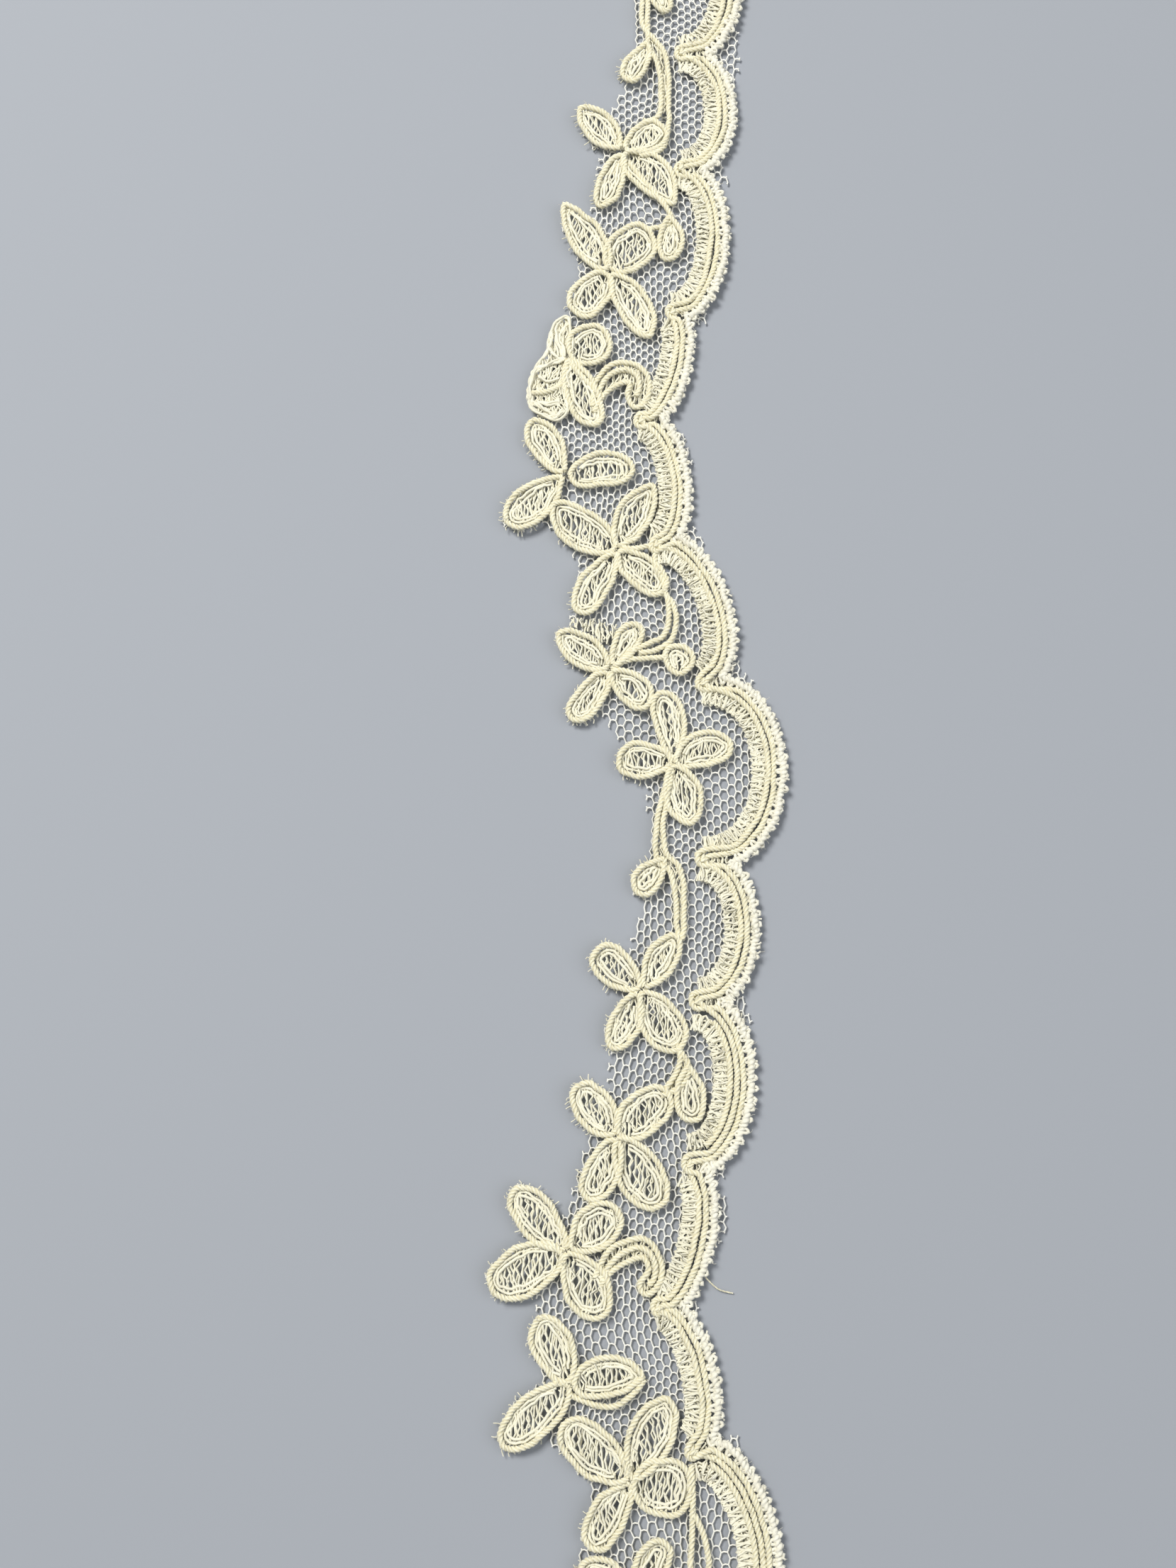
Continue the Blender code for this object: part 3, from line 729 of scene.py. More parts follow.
def cord_growth() -> Growth:
    """A tree for a plied cord: a lobed section that turns as it goes, a little uneven in thickness."""
    tree = Growth("plied_cord", {
        "Radius": 0.00045, "Plies": 3.0, "Ply Depth": 0.15, "Lay Length": 0.0018, "Step": 0.00026,
        "Sides": 12, "Unevenness": 0.55, "Unevenness Scale": 1400.0, "Slack": 5.0, "Slack Scale": 330.0,
    })
    spine = tree.out("GeometryNodeResampleCurve", {"mode": "LENGTH"}, {
        "Curve": tree.guide(), "Length": tree.given("Step"),
    })
    spine = tree.out("GeometryNodeSetCurveNormal", {"mode": "Z_UP"}, {"Curve": spine})
    place = tree.out("GeometryNodeInputPosition")
    stray = (tree.noise(place, tree.given("Slack Scale"), 2.0) - 0.5) * tree.given("Slack")
    turned = tree.length() / tree.given("Lay Length") * math.tau + stray
    spine = tree.out("GeometryNodeSetCurveTilt", sockets={"Curve": spine, "Tilt": turned})
    uneven = (tree.noise(place, tree.given("Unevenness Scale"), 1.0) - 0.5) * tree.given("Unevenness")
    spine = tree.out("GeometryNodeSetCurveRadius", sockets={"Curve": spine, "Radius": uneven + 1.0})
    lobe = (tree.share() * math.tau * tree.given("Plies")).cos() * tree.given("Ply Depth") + 1.0
    lobed = tree.out("ShaderNodeVectorMath", {"operation": "SCALE"}, {0: place, "Scale": lobe})
    profile = tree.out("GeometryNodeSetPosition", sockets={
        "Geometry": tree.ring(tree.given("Radius"), tree.given("Sides")), "Position": lobed,
    })
    tree.finish(tree.swept(spine, profile))
    return tree


def stitch_growth() -> Growth:
    """A tree for couching stitches: thin arches over a cord, at about even distances and a little askew."""
    tree = Growth("couching_stitches", {"Spacing": 0.0021, "Size": 0.00047, "Thread": 0.00007, "Seed": 1})
    start, sweep, askew = math.radians(-35), math.radians(250), Vector((0.2, 0.5, 0.3))
    spine = tree.out("GeometryNodeSetCurveNormal", {"mode": "Z_UP"}, {"Curve": tree.guide()})
    points = tree.node("GeometryNodeCurveToPoints", {"mode": "LENGTH"}, {
        "Curve": spine, "Length": tree.given("Spacing"),
    })
    arch = tree.out("GeometryNodeCurveArc", {"mode": "RADIUS"}, {
        "Resolution": 7, "Radius": 1.0, "Start Angle": start, "Sweep Angle": sweep,
    })
    arch = tree.swept(arch, tree.ring(tree.given("Thread") / tree.given("Size"), 3))
    tree.finish(tree.scattered(points, arch, tree.given("Size"), -askew, askew))
    return tree


def fuzz_growth() -> Growth:
    """A tree for stray fibres: bent hairs that stand out of a yarn's surface."""
    tree = Growth("stray_fibres", {"Density": 1.0e6, "Length": 0.0007, "Radius": 0.00002, "Seed": 1})
    bend, tip, shortest, taper, lean = (0.0, 0.0, 0.5), (0.45, 0.2, 0.85), 0.4, 0.7, 1.1
    points = tree.node("GeometryNodeDistributePointsOnFaces", {"distribute_method": "RANDOM"}, {
        "Mesh": tree.given("Geometry"), "Density": tree.given("Density"), "Seed": tree.given("Seed"),
    })
    hair = tree.out("GeometryNodeCurveQuadraticBezier", sockets={
        "Resolution": 3, "Start": (0.0, 0.0, 0.0), "Middle": bend, "End": tip,
    })
    width = 1.0 - tree.share() * taper
    hair = tree.out("GeometryNodeSetCurveRadius", sockets={"Curve": hair, "Radius": width})
    hair = tree.swept(hair, tree.ring(tree.given("Radius") / tree.given("Length"), 3))
    size = tree.out("FunctionNodeRandomValue", {"data_type": "FLOAT"}, {
        2: shortest, 3: 1.0, "Seed": tree.given("Seed"),
    }, output=1)
    tree.finish(tree.scattered(
        points, hair, size * tree.given("Length"), (-lean, -lean, 0.0), (lean, lean, math.tau)))
    return tree


@dataclass
class Guides:
    """Lines in the drawing's millimetres that a tree grows yarn along."""

    points: list[Vector] = field(default_factory=list)
    edges: list[tuple[int, int]] = field(default_factory=list)

    def line(self, path: Sequence[Vector]) -> None:
        """Add an open line of three-dimensional points."""
        if len(path) < 2:
            return
        first = len(self.points)
        self.points += path
        self.edges += [(first + number, first + number + 1) for number in range(len(path) - 1)]

    def lay(self, path: Sequence[Vector], height: float, reach: float, seed: float) -> None:
        """Add a flat line, as far as the trim's cut ends.

        Args:
            path: Points of the drawing.
            height: The height in millimetres that it lies at.
            reach: How far it rises and falls.
            seed: Another number gives other rises.
        """
        for run in within_length(path):
            self.line(lifted(run, height, reach, seed))

    def grown(self, name: str, tree: Growth, inputs: dict[str, Any]) -> bpy.types.Object:
        """Grow the yarn.

        Args:
            name: The piece's name.
            tree: The tree that grows it.
            inputs: The values of the tree's inputs, by label.

        Returns:
            The piece, a plain mesh in the frame's metres.
        """
        shift = Vector((*DRAWING_SHIFT, 0.0))
        mesh = bpy.data.meshes.new(name + "_guide")
        mesh.from_pydata([(point + shift) * MM for point in self.points], self.edges, [])
        return grown_on(mesh, name, tree, inputs)


def placed(name: str, data: Any) -> bpy.types.Object:
    """A new object in the scene."""
    made = bpy.data.objects.new(name, data)
    bpy.context.collection.objects.link(made)
    return made


def aimed(thing: bpy.types.Object, place: Vector, back: Vector) -> None:
    """Put a camera or light at a place, with its back to a direction."""
    thing.location = place
    thing.rotation_mode = "QUATERNION"
    thing.rotation_quaternion = (-back).to_track_quat("-Z", "Y")


def grown_on(mesh: bpy.types.Mesh, name: str, tree: Growth, inputs: dict[str, Any]) -> bpy.types.Object:
    """Run a tree on a guide mesh and keep its result as a plain piece.

    Args:
        mesh: The guide.
        name: The piece's name.
        tree: The tree to run.
        inputs: The values of the tree's inputs, by label.

    Returns:
        The piece.
    """
    guide = placed(name + "_guide", mesh)
    modifier = guide.modifiers.new("growth", "NODES")
    modifier.node_group = tree.tree
    for label, value in inputs.items():
        modifier[tree.identifiers[label]] = value
    depsgraph = bpy.context.evaluated_depsgraph_get()
    grown = bpy.data.meshes.new_from_object(
        guide.evaluated_get(depsgraph), preserve_all_data_layers=True, depsgraph=depsgraph)
    grown.name = name
    bpy.data.objects.remove(guide, do_unlink=True)
    piece = placed(name, grown)
    LOG.info("%s: %d triangles", name, sum(len(face.vertices) - 2 for face in grown.polygons))
    return piece


def joined(pieces: Sequence[bpy.types.Object]) -> bpy.types.Object:
    """Join pieces into the first of them."""
    with bpy.context.temp_override(active_object=pieces[0], selected_editable_objects=list(pieces)):
        bpy.ops.object.join()
    return pieces[0]


def wander(point: Vector, size: float, reach: float, seed: float = 0.0) -> Vector:
    """A smooth unevenness of the drawing.

    Args:
        point: A point of the drawing.
        size: The distance over which it changes.
        reach: The furthest that it goes.
        seed: Another number gives another unevenness.

    Returns:
        The step to add to the point.
    """
    at = Vector((point.x / size, point.y / size, seed * 7.31))
    return Vector((noise.noise(at), noise.noise(at + Vector((31.7, 11.3, 5.1))))) * reach


class Sway(NamedTuple):
    """The hand-laid unevenness of a cord: how far it goes, and over what distance, slowly and quickly."""

    slow: float
    slow_size: float
    quick: float
    quick_size: float

    def moved(self, point: Vector, slow_seed: float = 0.0, quick_seed: float = 4.0) -> Vector:
        """The point with its unevenness added."""
        return (point + wander(point, self.slow_size, self.slow, slow_seed)
                + wander(point, self.quick_size, self.quick, quick_seed))


PETAL_SWAY = Sway(0.34, 3.4, 0.2, 1.1)
STEM_SWAY = Sway(0.2, 4.0, 0.14, 1.2)
BORDER_SWAY = Sway(0.15, 5.0, 0.12, 1.3)


def lifted(path: Sequence[Vector], height: float, reach: float, seed: float = 0.0) -> Path:
    """A flat path laid at a height, rising and falling a little.

    Args:
        path: Points of the drawing.
        height: The height in millimetres.
        reach: How far it rises and falls.
        seed: Another number gives other rises.

    Returns:
        Points with three coordinates.
    """
    wave, apart, start = 2.5, 3.7, 50.0
    return [
        Vector((
            point.x, point.y,
            height + reach * noise.noise(Vector((point.x / wave, point.y / wave, seed * apart + start))),
        ))
        for point in path
    ]


def petal_path(base: Vector, petal: Petal | Bud, steps: int, margin: float = 0.0) -> Path:
    """The teardrop line of the cord round a petal or bud.

    Args:
        base: Where it starts and ends.
        petal: Its heading, reach and breadth.
        steps: The number of points round it.
        margin: How far outside the cord's middle line to go.

    Returns:
        The points, from the base round to just before it.
    """
    root_reach, root_stray = 0.5, 0.5
    tip = petal.reach - CORD_RADIUS + margin
    root = root_reach + root_stray * noise.noise(Vector((petal.heading, petal.reach, 0.5))) - margin
    widest = petal.root_power / (petal.root_power + petal.tip_power)
    fullness = widest ** petal.root_power * (1 - widest) ** petal.tip_power
    half = petal.breadth / 2 - CORD_RADIUS + margin
    lie = Vector((math.cos(math.radians(petal.heading)), math.sin(math.radians(petal.heading))))
    side = Vector((-lie.y, lie.x))
    path = []
    for step in range(steps):
        turn = math.tau * step / steps
        share = math.sin(turn / 2) ** 2
        across = half * share ** petal.root_power * (1 - share) ** petal.tip_power / fullness
        across = math.copysign(across, math.sin(turn)) + petal.bow * 4 * share * (1 - share)
        point = base + (root + (tip - root) * share) * lie + across * side
        path.append(PETAL_SWAY.moved(point, petal.heading))
    return path


def smooth_path(points: Sequence[Any], spacing: float) -> Path:
    """Points about one spacing apart on a smooth curve through the given ones.

    Args:
        points: The curve's guides.
        spacing: The distance between the points that are given back.

    Returns:
        The points.
    """
    guides = [Vector(point) for point in points]
    guides = [2 * guides[0] - guides[1], *guides, 2 * guides[-1] - guides[-2]]
    path = []
    for p0, p1, p2, p3 in zip(guides, guides[1:], guides[2:], guides[3:]):
        pieces = max(1, round((p2 - p1).length / spacing))
        for piece in range(pieces):
            t = piece / pieces
            path.append(
                0.5 * (2 * p1 + (p2 - p0) * t + (2 * p0 - 5 * p1 + 4 * p2 - p3) * t ** 2
                       + (3 * p1 - p0 - 3 * p2 + p3) * t ** 3)
            )
    return path + [guides[-2]]


def within_length(path: Sequence[Vector]) -> list[Path]:
    """The runs of a path that lie between the trim's two cut ends."""
    runs: list[Path] = [[]]
    for point in path:
        if CUT_BOTTOM <= point.y <= CUT_TOP:
            runs[-1].append(point)
        elif runs[-1]:
            runs.append([])
    return [run for run in runs if len(run) > 1]


class Shape:
    """A closed outline of the drawing that points are tested against."""

    def __init__(self, outline: Path) -> None:
        """Keep the outline and its box."""
        self.outline = outline
        self.low = Vector((min(point.x for point in outline), min(point.y for point in outline)))
        self.high = Vector((max(point.x for point in outline), max(point.y for point in outline)))

    def holds(self, point: Vector) -> bool:
        """Whether a point lies inside the outline."""
        if not (self.low.x < point.x < self.high.x and self.low.y < point.y < self.high.y):
            return False
        inside = False
        before = self.outline[-1]
        for corner in self.outline:
            if (corner.y > point.y) != (before.y > point.y):
                reach = corner.x + (before.x - corner.x) * (point.y - corner.y) / (before.y - corner.y)
                inside = inside != (point.x < reach)
            before = corner
        return inside


def shapes(outlines: Iterable[Sequence[Any]]) -> list[Shape]:
    """A shape for each outline."""
    return [Shape([Vector(point) for point in outline]) for outline in outlines]


@dataclass
class Scallop:
    """One scallop of the border: its cusps, its depth and the cords that follow it."""

    top: Vector
    bottom: Vector
    depth: float
    cords: int

    def point(self, turn: float, offset: float = 0.0) -> Vector:
        """A point of the scallop.

        Args:
            turn: From 0 at the top cusp to 1 at the bottom one.
            offset: How far outwards from the outer cord's line.

        Returns:
            The point.
        """
        nudge = 0.006
        tangent = self.on_line(min(1.0, turn + nudge)) - self.on_line(max(0.0, turn - nudge))
        return self.on_line(turn) + Vector((-tangent.y, tangent.x)).normalized() * offset

    def on_line(self, turn: float) -> Vector:
        """The point of the outer cord's own line."""
        chord = self.bottom - self.top
        swell = max(0.0, math.sin(math.pi * turn)) ** SCALLOP_FULLNESS
        across = self.out() * (self.depth - OUTLINE_OFFSET) * swell
        return self.top + chord * (1 - math.cos(math.pi * turn)) / 2 + across

    def out(self) -> Vector:
        """The direction outwards, square to the line between the cusps."""
        chord = self.bottom - self.top
        return Vector((-chord.y, chord.x)).normalized()

    def path(self, offset: float, start: float = 0.0, end: float = 1.0, steps: int = 40) -> Path:
        """The scallop's line some way outwards, from one turn to another."""
        return [self.point(start + (end - start) * step / steps, offset) for step in range(steps + 1)]

    def even_turns(self, offset: float, spacing: float, start: float, end: float) -> list[float]:
        """Turns that stand at even distances along the scallop.

        Args:
            offset: How far outwards the distances are measured.
            spacing: The distance.
            start: The first turn.
            end: The last turn.

        Returns:
            The turns.
        """
        fine = 160
        turns, left = [start], spacing
        before = self.point(start, offset)
        for step in range(1, fine + 1):
            turn = start + (end - start) * step / fine
            point = self.point(turn, offset)
            reach = (point - before).length
            while left <= reach and reach > 0:
                turns.append(turn - (end - start) / fine * (1 - left / reach))
                left += spacing
            left -= reach
            before = point
        return turns

    def inner_edge(self) -> float:
        """The offset of the ladder's inner edge."""
        return -LADDER_REACH - CORD_PITCH * (self.cords - 2)

    def ladder_edges(self) -> tuple[float, float]:
        """The offsets of the ladder's outer and inner edges."""
        return -CORD_PITCH * (self.cords - 1) - LADDER_GAP, self.inner_edge()


def scallops() -> list[Scallop]:
    """The border's scallops from the top down."""
    return [
        Scallop(Vector(above), Vector(below), depth, cords)
        for above, below, depth, cords in zip(CUSPS, CUSPS[1:], SCALLOP_DEPTHS, SCALLOP_CORDS)
    ]


def around(middle: Sequence[float], spots: Line) -> Path:
    """Points by their distance outwards and along the trim from a middle one."""
    return [Vector((middle[0] + out, middle[1] + along)) for out, along in spots]


def petals_of(flowers: Sequence[Flower]) -> list[tuple[Vector, Petal | Bud]]:
    """Each petal and then each bud of some flowers, with the point that it grows from."""
    rows: list[tuple[Vector, Petal | Bud]] = [
        (Vector(flower.centre), petal) for flower in flowers for petal in flower.petals
    ]
    return rows + [(Vector(bud.base), bud) for flower in flowers for bud in flower.buds]


@dataclass(frozen=True)
class Lattice:
    """A thread lattice: zigzag walls side by side, tied by arched rungs where they come nearest."""

    pitch: float
    rise: float
    seed: int
    height: float = Layer.CLOTHWORK.value
    jitter: float = 0.5
    lift: float = 0.5
    arch: float = 0.0
    rungs: bool = False
    sway: float = 0.13
    stretch: float = 1.0
    stretch_size: float = 7.5
    jitter_size: float = 1.15
    stub: tuple[float, float] = (0.15, 0.6)
    rung_stub: tuple[float, float] = (0.25, 0.6)
    rung_stub_share: float = 0.6
    rung_stub_arch: float = 0.7

    def node(self, wall: int, row: int) -> Vector:
        """The place where a wall passes a row."""
        side = 1 if (wall + row) % 2 == 0 else -1
        point = Vector((wall * self.pitch + side * self.sway, row * self.rise))
        return point + (wander(point, self.stretch_size, self.stretch, 1.0)
                        + wander(point, self.jitter_size, self.jitter, 2.0 + self.seed))

    def laid(self, path: Path) -> Path:
        """A flat path at the lattice's height."""
        return lifted(path, self.height, self.lift, self.seed)

    def add_to(self, walls: Guides, rungs: Guides, shows: Callable[[Vector], bool]) -> None:
        """Add the lattice's lines.

        Args:
            walls: Takes the walls.
            rungs: Takes the rungs.
            shows: Whether the lattice shows at a point.
        """
        draw = random.Random(self.seed)
        columns = range(math.floor(FIELD_SIDES[0] / self.pitch), math.ceil(FIELD_SIDES[1] / self.pitch) + 1)
        rows = range(math.floor(CUT_BOTTOM / self.rise), math.ceil(CUT_TOP / self.rise) + 1)
        nodes = {(wall, row): self.node(wall, row) for wall in (*columns, columns.stop) for row in rows}
        shown = {key for key, point in nodes.items() if shows(point)}
        for wall in columns:
            run: Path = []
            for row in rows:
                if (wall, row) in shown:
                    if not run and (wall, row - 1) in nodes:
                        run.append(nodes[wall, row].lerp(nodes[wall, row - 1], draw.uniform(*self.stub)))
                    run.append(nodes[wall, row])
                elif run:
                    run.append(run[-1].lerp(nodes[wall, row], draw.uniform(*self.stub)))
                    walls.line(self.laid(run))
                    run = []
            walls.line(self.laid(run))
        bow = Vector((0.0, self.arch))
        for wall, row in sorted(shown) if self.rungs else ():
            if (wall + row) % 2:
                continue
            start, end = nodes[wall, row], nodes[wall + 1, row]
            if (wall + 1, row) in shown:
                rungs.line(self.laid([start, start.lerp(end, 0.5) + bow, end]))
            elif draw.random() < self.rung_stub_share:
                cut = start.lerp(end, draw.uniform(*self.rung_stub)) + bow * self.rung_stub_arch
                rungs.line(self.laid([start, cut]))


@dataclass(frozen=True)
class Strand:
    """A kind of thread in the cloth: how thick and round it is, and how high and how unevenly it lies."""

    radius: float
    sides: int = 4
    height: float = Layer.LADDER.value
    lift: float = 0.4
    knot: float = 0.0


@dataclass
class Cloth:
    """The net ground with its clothwork and the ladder bands, one sheet of thread."""

    net: Lattice = Lattice(0.93, 0.73, 1, Layer.NET.value, jitter=0.12, lift=0.08, arch=0.1, rungs=True)
    fillings: tuple[Lattice, ...] = (Lattice(0.54, 0.8, 3), Lattice(0.68, 0.95, 4))
    crumpled_filling: Lattice = Lattice(0.46, 0.62, 5, Layer.CLOTHWORK.value + 0.25, jitter=0.7, lift=0.6)
    outline_steps: int = 24
    scroll_spacing: float = 0.6
    petal_rim: float = 0.45
    border_rim: float = -0.3
    net_under_cord: float = -0.25
    clothwork_under_cord: float = -0.15
    net_under_border: float = -0.8
    net_under_ladder: float = 0.6
    bare_turns: tuple[float, float] = (0.05, 0.95)
    wall: Strand = Strand(0.152, 3)
    rung: Strand = Strand(0.152, 3, knot=0.3)
    filling: Strand = Strand(0.18, 3)
    lane: Strand = Strand(0.24, 3, Layer.LADDER.value - 0.12)
    bar: Strand = Strand(0.155, 4, Layer.LADDER.value + 0.15)
    mat: Strand = Strand(0.15, 3, Layer.LADDER.value + 0.25, 0.5)
    ring: Strand = Strand(0.2, 4, Layer.LADDER.value + 0.15, 0.35)
    fold: Strand = Strand(0.2, 4, Layer.LADDER.value + 0.3, 0.5)
    tuft: Strand = Strand(0.08, 4, Layer.CLOTHWORK.value - 0.3)
    ladder_turns: tuple[float, float] = (0.02, 0.98)
    lanes: int = 5
    lane_margin: float = 0.15
    lane_step: float = 0.43
    lane_zigzag: float = 0.17
    lane_stray: float = 0.12
    bar_pitch: float = 0.78
    bar_turns: tuple[float, float] = (0.015, 0.985)
    bar_waist: tuple[float, float] = (0.25, 0.75)
    bar_fullness: tuple[float, float] = (0.75, 1.25)
    bar_spread: float = 0.3
    bar_shares: tuple[float, ...] = (0.0, 0.3, 0.5, 0.75, 1.0)
    mat_step: float = 0.23
    mat_stray: float = 0.012
    mat_across: tuple[float, float] = (-0.05, 1.0)
    mat_spacing: float = 0.55
    ring_steps: int = 34
    ring_margins: tuple[float, ...] = (-0.68, -1.15)
    ring_sway: float = 0.25
    ring_sway_size: float = 0.8
    fold_strands: int = 3
    fold_spacing: float = 0.4
    fold_sway: float = 0.6
    fold_sway_size: float = 1.6
    tuft_steps: int = 44
    tuft_margin: float = 0.3
    tuft_share: float = 0.55
    tuft_reach: tuple[float, float] = (0.25, 0.7)
    tuft_lean: float = 0.5
    tuft_root: float = 0.3

    def __post_init__(self) -> None:
        """Work out the outlines that the threads are clipped to."""
        self.scallops = scallops()
        self.ground = [
            *shapes(((*CUT_EDGE[::-1], *CUSPS),)), *self.petal_shapes(self.petal_rim),
            *shapes(scallop.path(self.border_rim) for scallop in self.scallops), *shapes(SCRAPS),
        ]
        self.crumpled = shapes((CRUMPLED,))[0]
        self.worked = [
            *self.petal_shapes(self.clothwork_under_cord),
            *shapes(
                smooth_path(stem, self.scroll_spacing)
                for flower in FLOWERS for stem in flower.stems if len(stem) > SCROLL_POINTS
            ),
            self.crumpled, *shapes(FILLED_CORNERS), *shapes(around(cusp, CUSP_PATCH) for cusp in CUSPS),
        ]
        self.no_net = [
            *self.petal_shapes(self.net_under_cord),
            *shapes(
                scallop.path(self.net_under_border, *self.bare_turns)
                + scallop.path(scallop.inner_edge() + self.net_under_ladder, *self.bare_turns)[::-1]
                for scallop in self.scallops
            ),
        ]

    def petal_shapes(self, margin: float) -> list[Shape]:
        """A shape for each petal and bud, some way outside its cord's middle line."""
        return shapes(
            petal_path(base, petal, self.outline_steps, margin) for base, petal in petals_of(FLOWERS))

    def net_shows(self, point: Vector) -> bool:
        """Whether open net shows at a point."""
        return (CUT_BOTTOM < point.y < CUT_TOP
                and any(shape.holds(point) for shape in self.ground)
                and not any(shape.holds(point) for shape in self.no_net))

    def clothwork_shows(self, point: Vector) -> bool:
        """Whether clothwork shows at a point."""
        return CUT_BOTTOM < point.y < CUT_TOP and any(shape.holds(point) for shape in self.worked)

    def lane_lines(self) -> Guides:
        """The matted threads that run along each ladder band, under its bars."""
        draw, guides = random.Random(7), Guides()
        margin, zigzag, stray = self.lane_margin, self.lane_zigzag, self.lane_stray
        for number, scallop in enumerate(self.scallops):
            outer, inner = scallop.ladder_edges()
            for lane in range(self.lanes):
                edge = inner + margin + (outer - inner - margin) * lane / (self.lanes - 1)
                turns = scallop.even_turns(edge, self.lane_step, *self.ladder_turns)
                line = [
                    scallop.point(turn, edge + (-zigzag, zigzag)[step % 2] + draw.uniform(-stray, stray))
                    for step, turn in enumerate(turns)
                ]
                guides.lay(line, self.lane.height, self.lane.lift, 6.0 + lane + number)
        return guides

    def bar_lines(self) -> Guides:
        """The ladder's bars: bundles of thread across the band, spread at both ends like sheaves."""
        draw, guides = random.Random(8), Guides()
        nudge, end_stray, reach_stray, lean_stray = 0.01, 0.16, 0.1, 0.05
        for scallop in self.scallops:
            outer, inner = scallop.ladder_edges()
            for turn in scallop.even_turns((outer + inner) / 2, self.bar_pitch, *self.bar_turns):
                along = scallop.point(min(1.0, turn + nudge)) - scallop.point(max(0.0, turn - nudge))
                waist = draw.uniform(*self.bar_waist)
                along = along.normalized() * draw.uniform(*self.bar_fullness)
                for strand in (-1, 0, 1):
                    ends = [strand * self.bar_spread + draw.uniform(-end_stray, end_stray) for _ in range(2)]
                    bar = []
                    for share in self.bar_shares:
                        reach = outer + (inner - outer) * share + draw.uniform(-reach_stray, reach_stray)
                        spread = ends[0] if share < waist else ends[1]
                        lean = spread * abs(share - waist) * 2 + draw.uniform(-lean_stray, lean_stray)
                        bar.append(scallop.point(turn, reach) + along * lean)
                    guides.lay(bar, self.bar.height, self.bar.lift, 5.0 + strand)
        return guides

    def mat_lines(self) -> Guides:
        """The tangled thread that lies over each ladder band's bars."""
        draw, guides = random.Random(9), Guides()
        for scallop in self.scallops:
            outer, inner = scallop.ladder_edges()
            track = []
            for turn in scallop.even_turns((outer + inner) / 2, self.mat_step, *self.ladder_turns):
                across = draw.uniform(*self.mat_across)
                turn = min(1.0, turn + draw.uniform(-self.mat_stray, self.mat_stray))
                track.append(scallop.point(turn, outer + (inner - outer) * across))
            guides.lay(smooth_path(track, self.mat_spacing), self.mat.height, self.mat.lift, 9.0)
        return guides

    def ring_lines(self) -> Guides:
        """The looped thread inside each petal's cord, and the ridges of the crumpled folds."""
        guides = Guides()
        for order, (base, petal) in enumerate(petals_of(FLOWERS)):
            for margin in self.ring_margins:
                ring = [
                    point + wander(point, self.ring_sway_size, self.ring_sway, order + margin)
                    for point in petal_path(base, petal, self.ring_steps, margin)[3:-2]
                ]
                guides.lay(ring, self.ring.height, self.ring.lift, order + margin)
        for order, fold in enumerate((*FOLDS, (*CRUMPLED, CRUMPLED[0]))):
            for strand in range(self.fold_strands):
                ridge = [
                    point + wander(point, self.fold_sway_size, self.fold_sway, order + strand * 0.7)
                    for point in smooth_path(fold, self.fold_spacing)
                ]
                guides.lay(ridge, self.fold.height, self.fold.lift, order + strand * 0.3)
        return guides

    def tuft_lines(self) -> Guides:
        """The short ends of cut threads that stand out of the petals along the cut edge."""
        draw, guides = random.Random(29), Guides()
        for base, petal in petals_of(FLOWERS):
            rim = petal_path(base, petal, self.tuft_steps, self.tuft_margin)
            for before, point in zip(rim, rim[1:]):
                tangent = point - before
                out = Vector((-tangent.y, tangent.x)).normalized()
                if out.dot(point - base) < 0 or draw.random() > self.tuft_share:
                    continue
                if not any(shape.holds(point + out * self.tuft_reach[1]) for shape in self.ground):
                    lean = Vector([draw.uniform(-self.tuft_lean, self.tuft_lean) for _ in range(2)])
                    reach = draw.uniform(*self.tuft_reach)
                    tuft = [
                        point - out * self.tuft_root,
                        point + out * reach * 0.5,
                        point + (out + lean) * reach,
                    ]
                    guides.lay(tuft, self.tuft.height, self.tuft.lift, reach * 9)
        return guides

    def build(self, thread: Growth, net: bpy.types.Material, worked: bpy.types.Material) -> bpy.types.Object:
        """Build the cloth.

        Args:
            thread: The tree that grows plain threads.
            net: The net's finish.
            worked: The clothwork's and ladder's finish.

        Returns:
            The cloth as one piece.
        """
        walls, rungs, filling = Guides(), Guides(), Guides()
        self.net.add_to(walls, rungs, self.net_shows)
        for lattice in self.fillings:
            lattice.add_to(filling, Guides(), self.clothwork_shows)
        self.crumpled_filling.add_to(filling, Guides(), self.crumpled.holds)
        rows = (
            ("net_cloth", walls, self.wall, net),
            ("net_rungs", rungs, self.rung, net),
            ("clothwork", filling, self.filling, worked),
            ("ladder_lanes", self.lane_lines(), self.lane, worked),
            ("ladder_bars", self.bar_lines(), self.bar, worked),
            ("ladder_mat", self.mat_lines(), self.mat, worked),
            ("rings", self.ring_lines(), self.ring, worked),
            ("tufts", self.tuft_lines(), self.tuft, worked),
        )
        return joined([
            guides.grown(name, thread, {
                "Radius": strand.radius * MM, "Sides": strand.sides, "Knot": strand.knot, "Material": finish,
            })
            for name, guides, strand, finish in rows
        ])


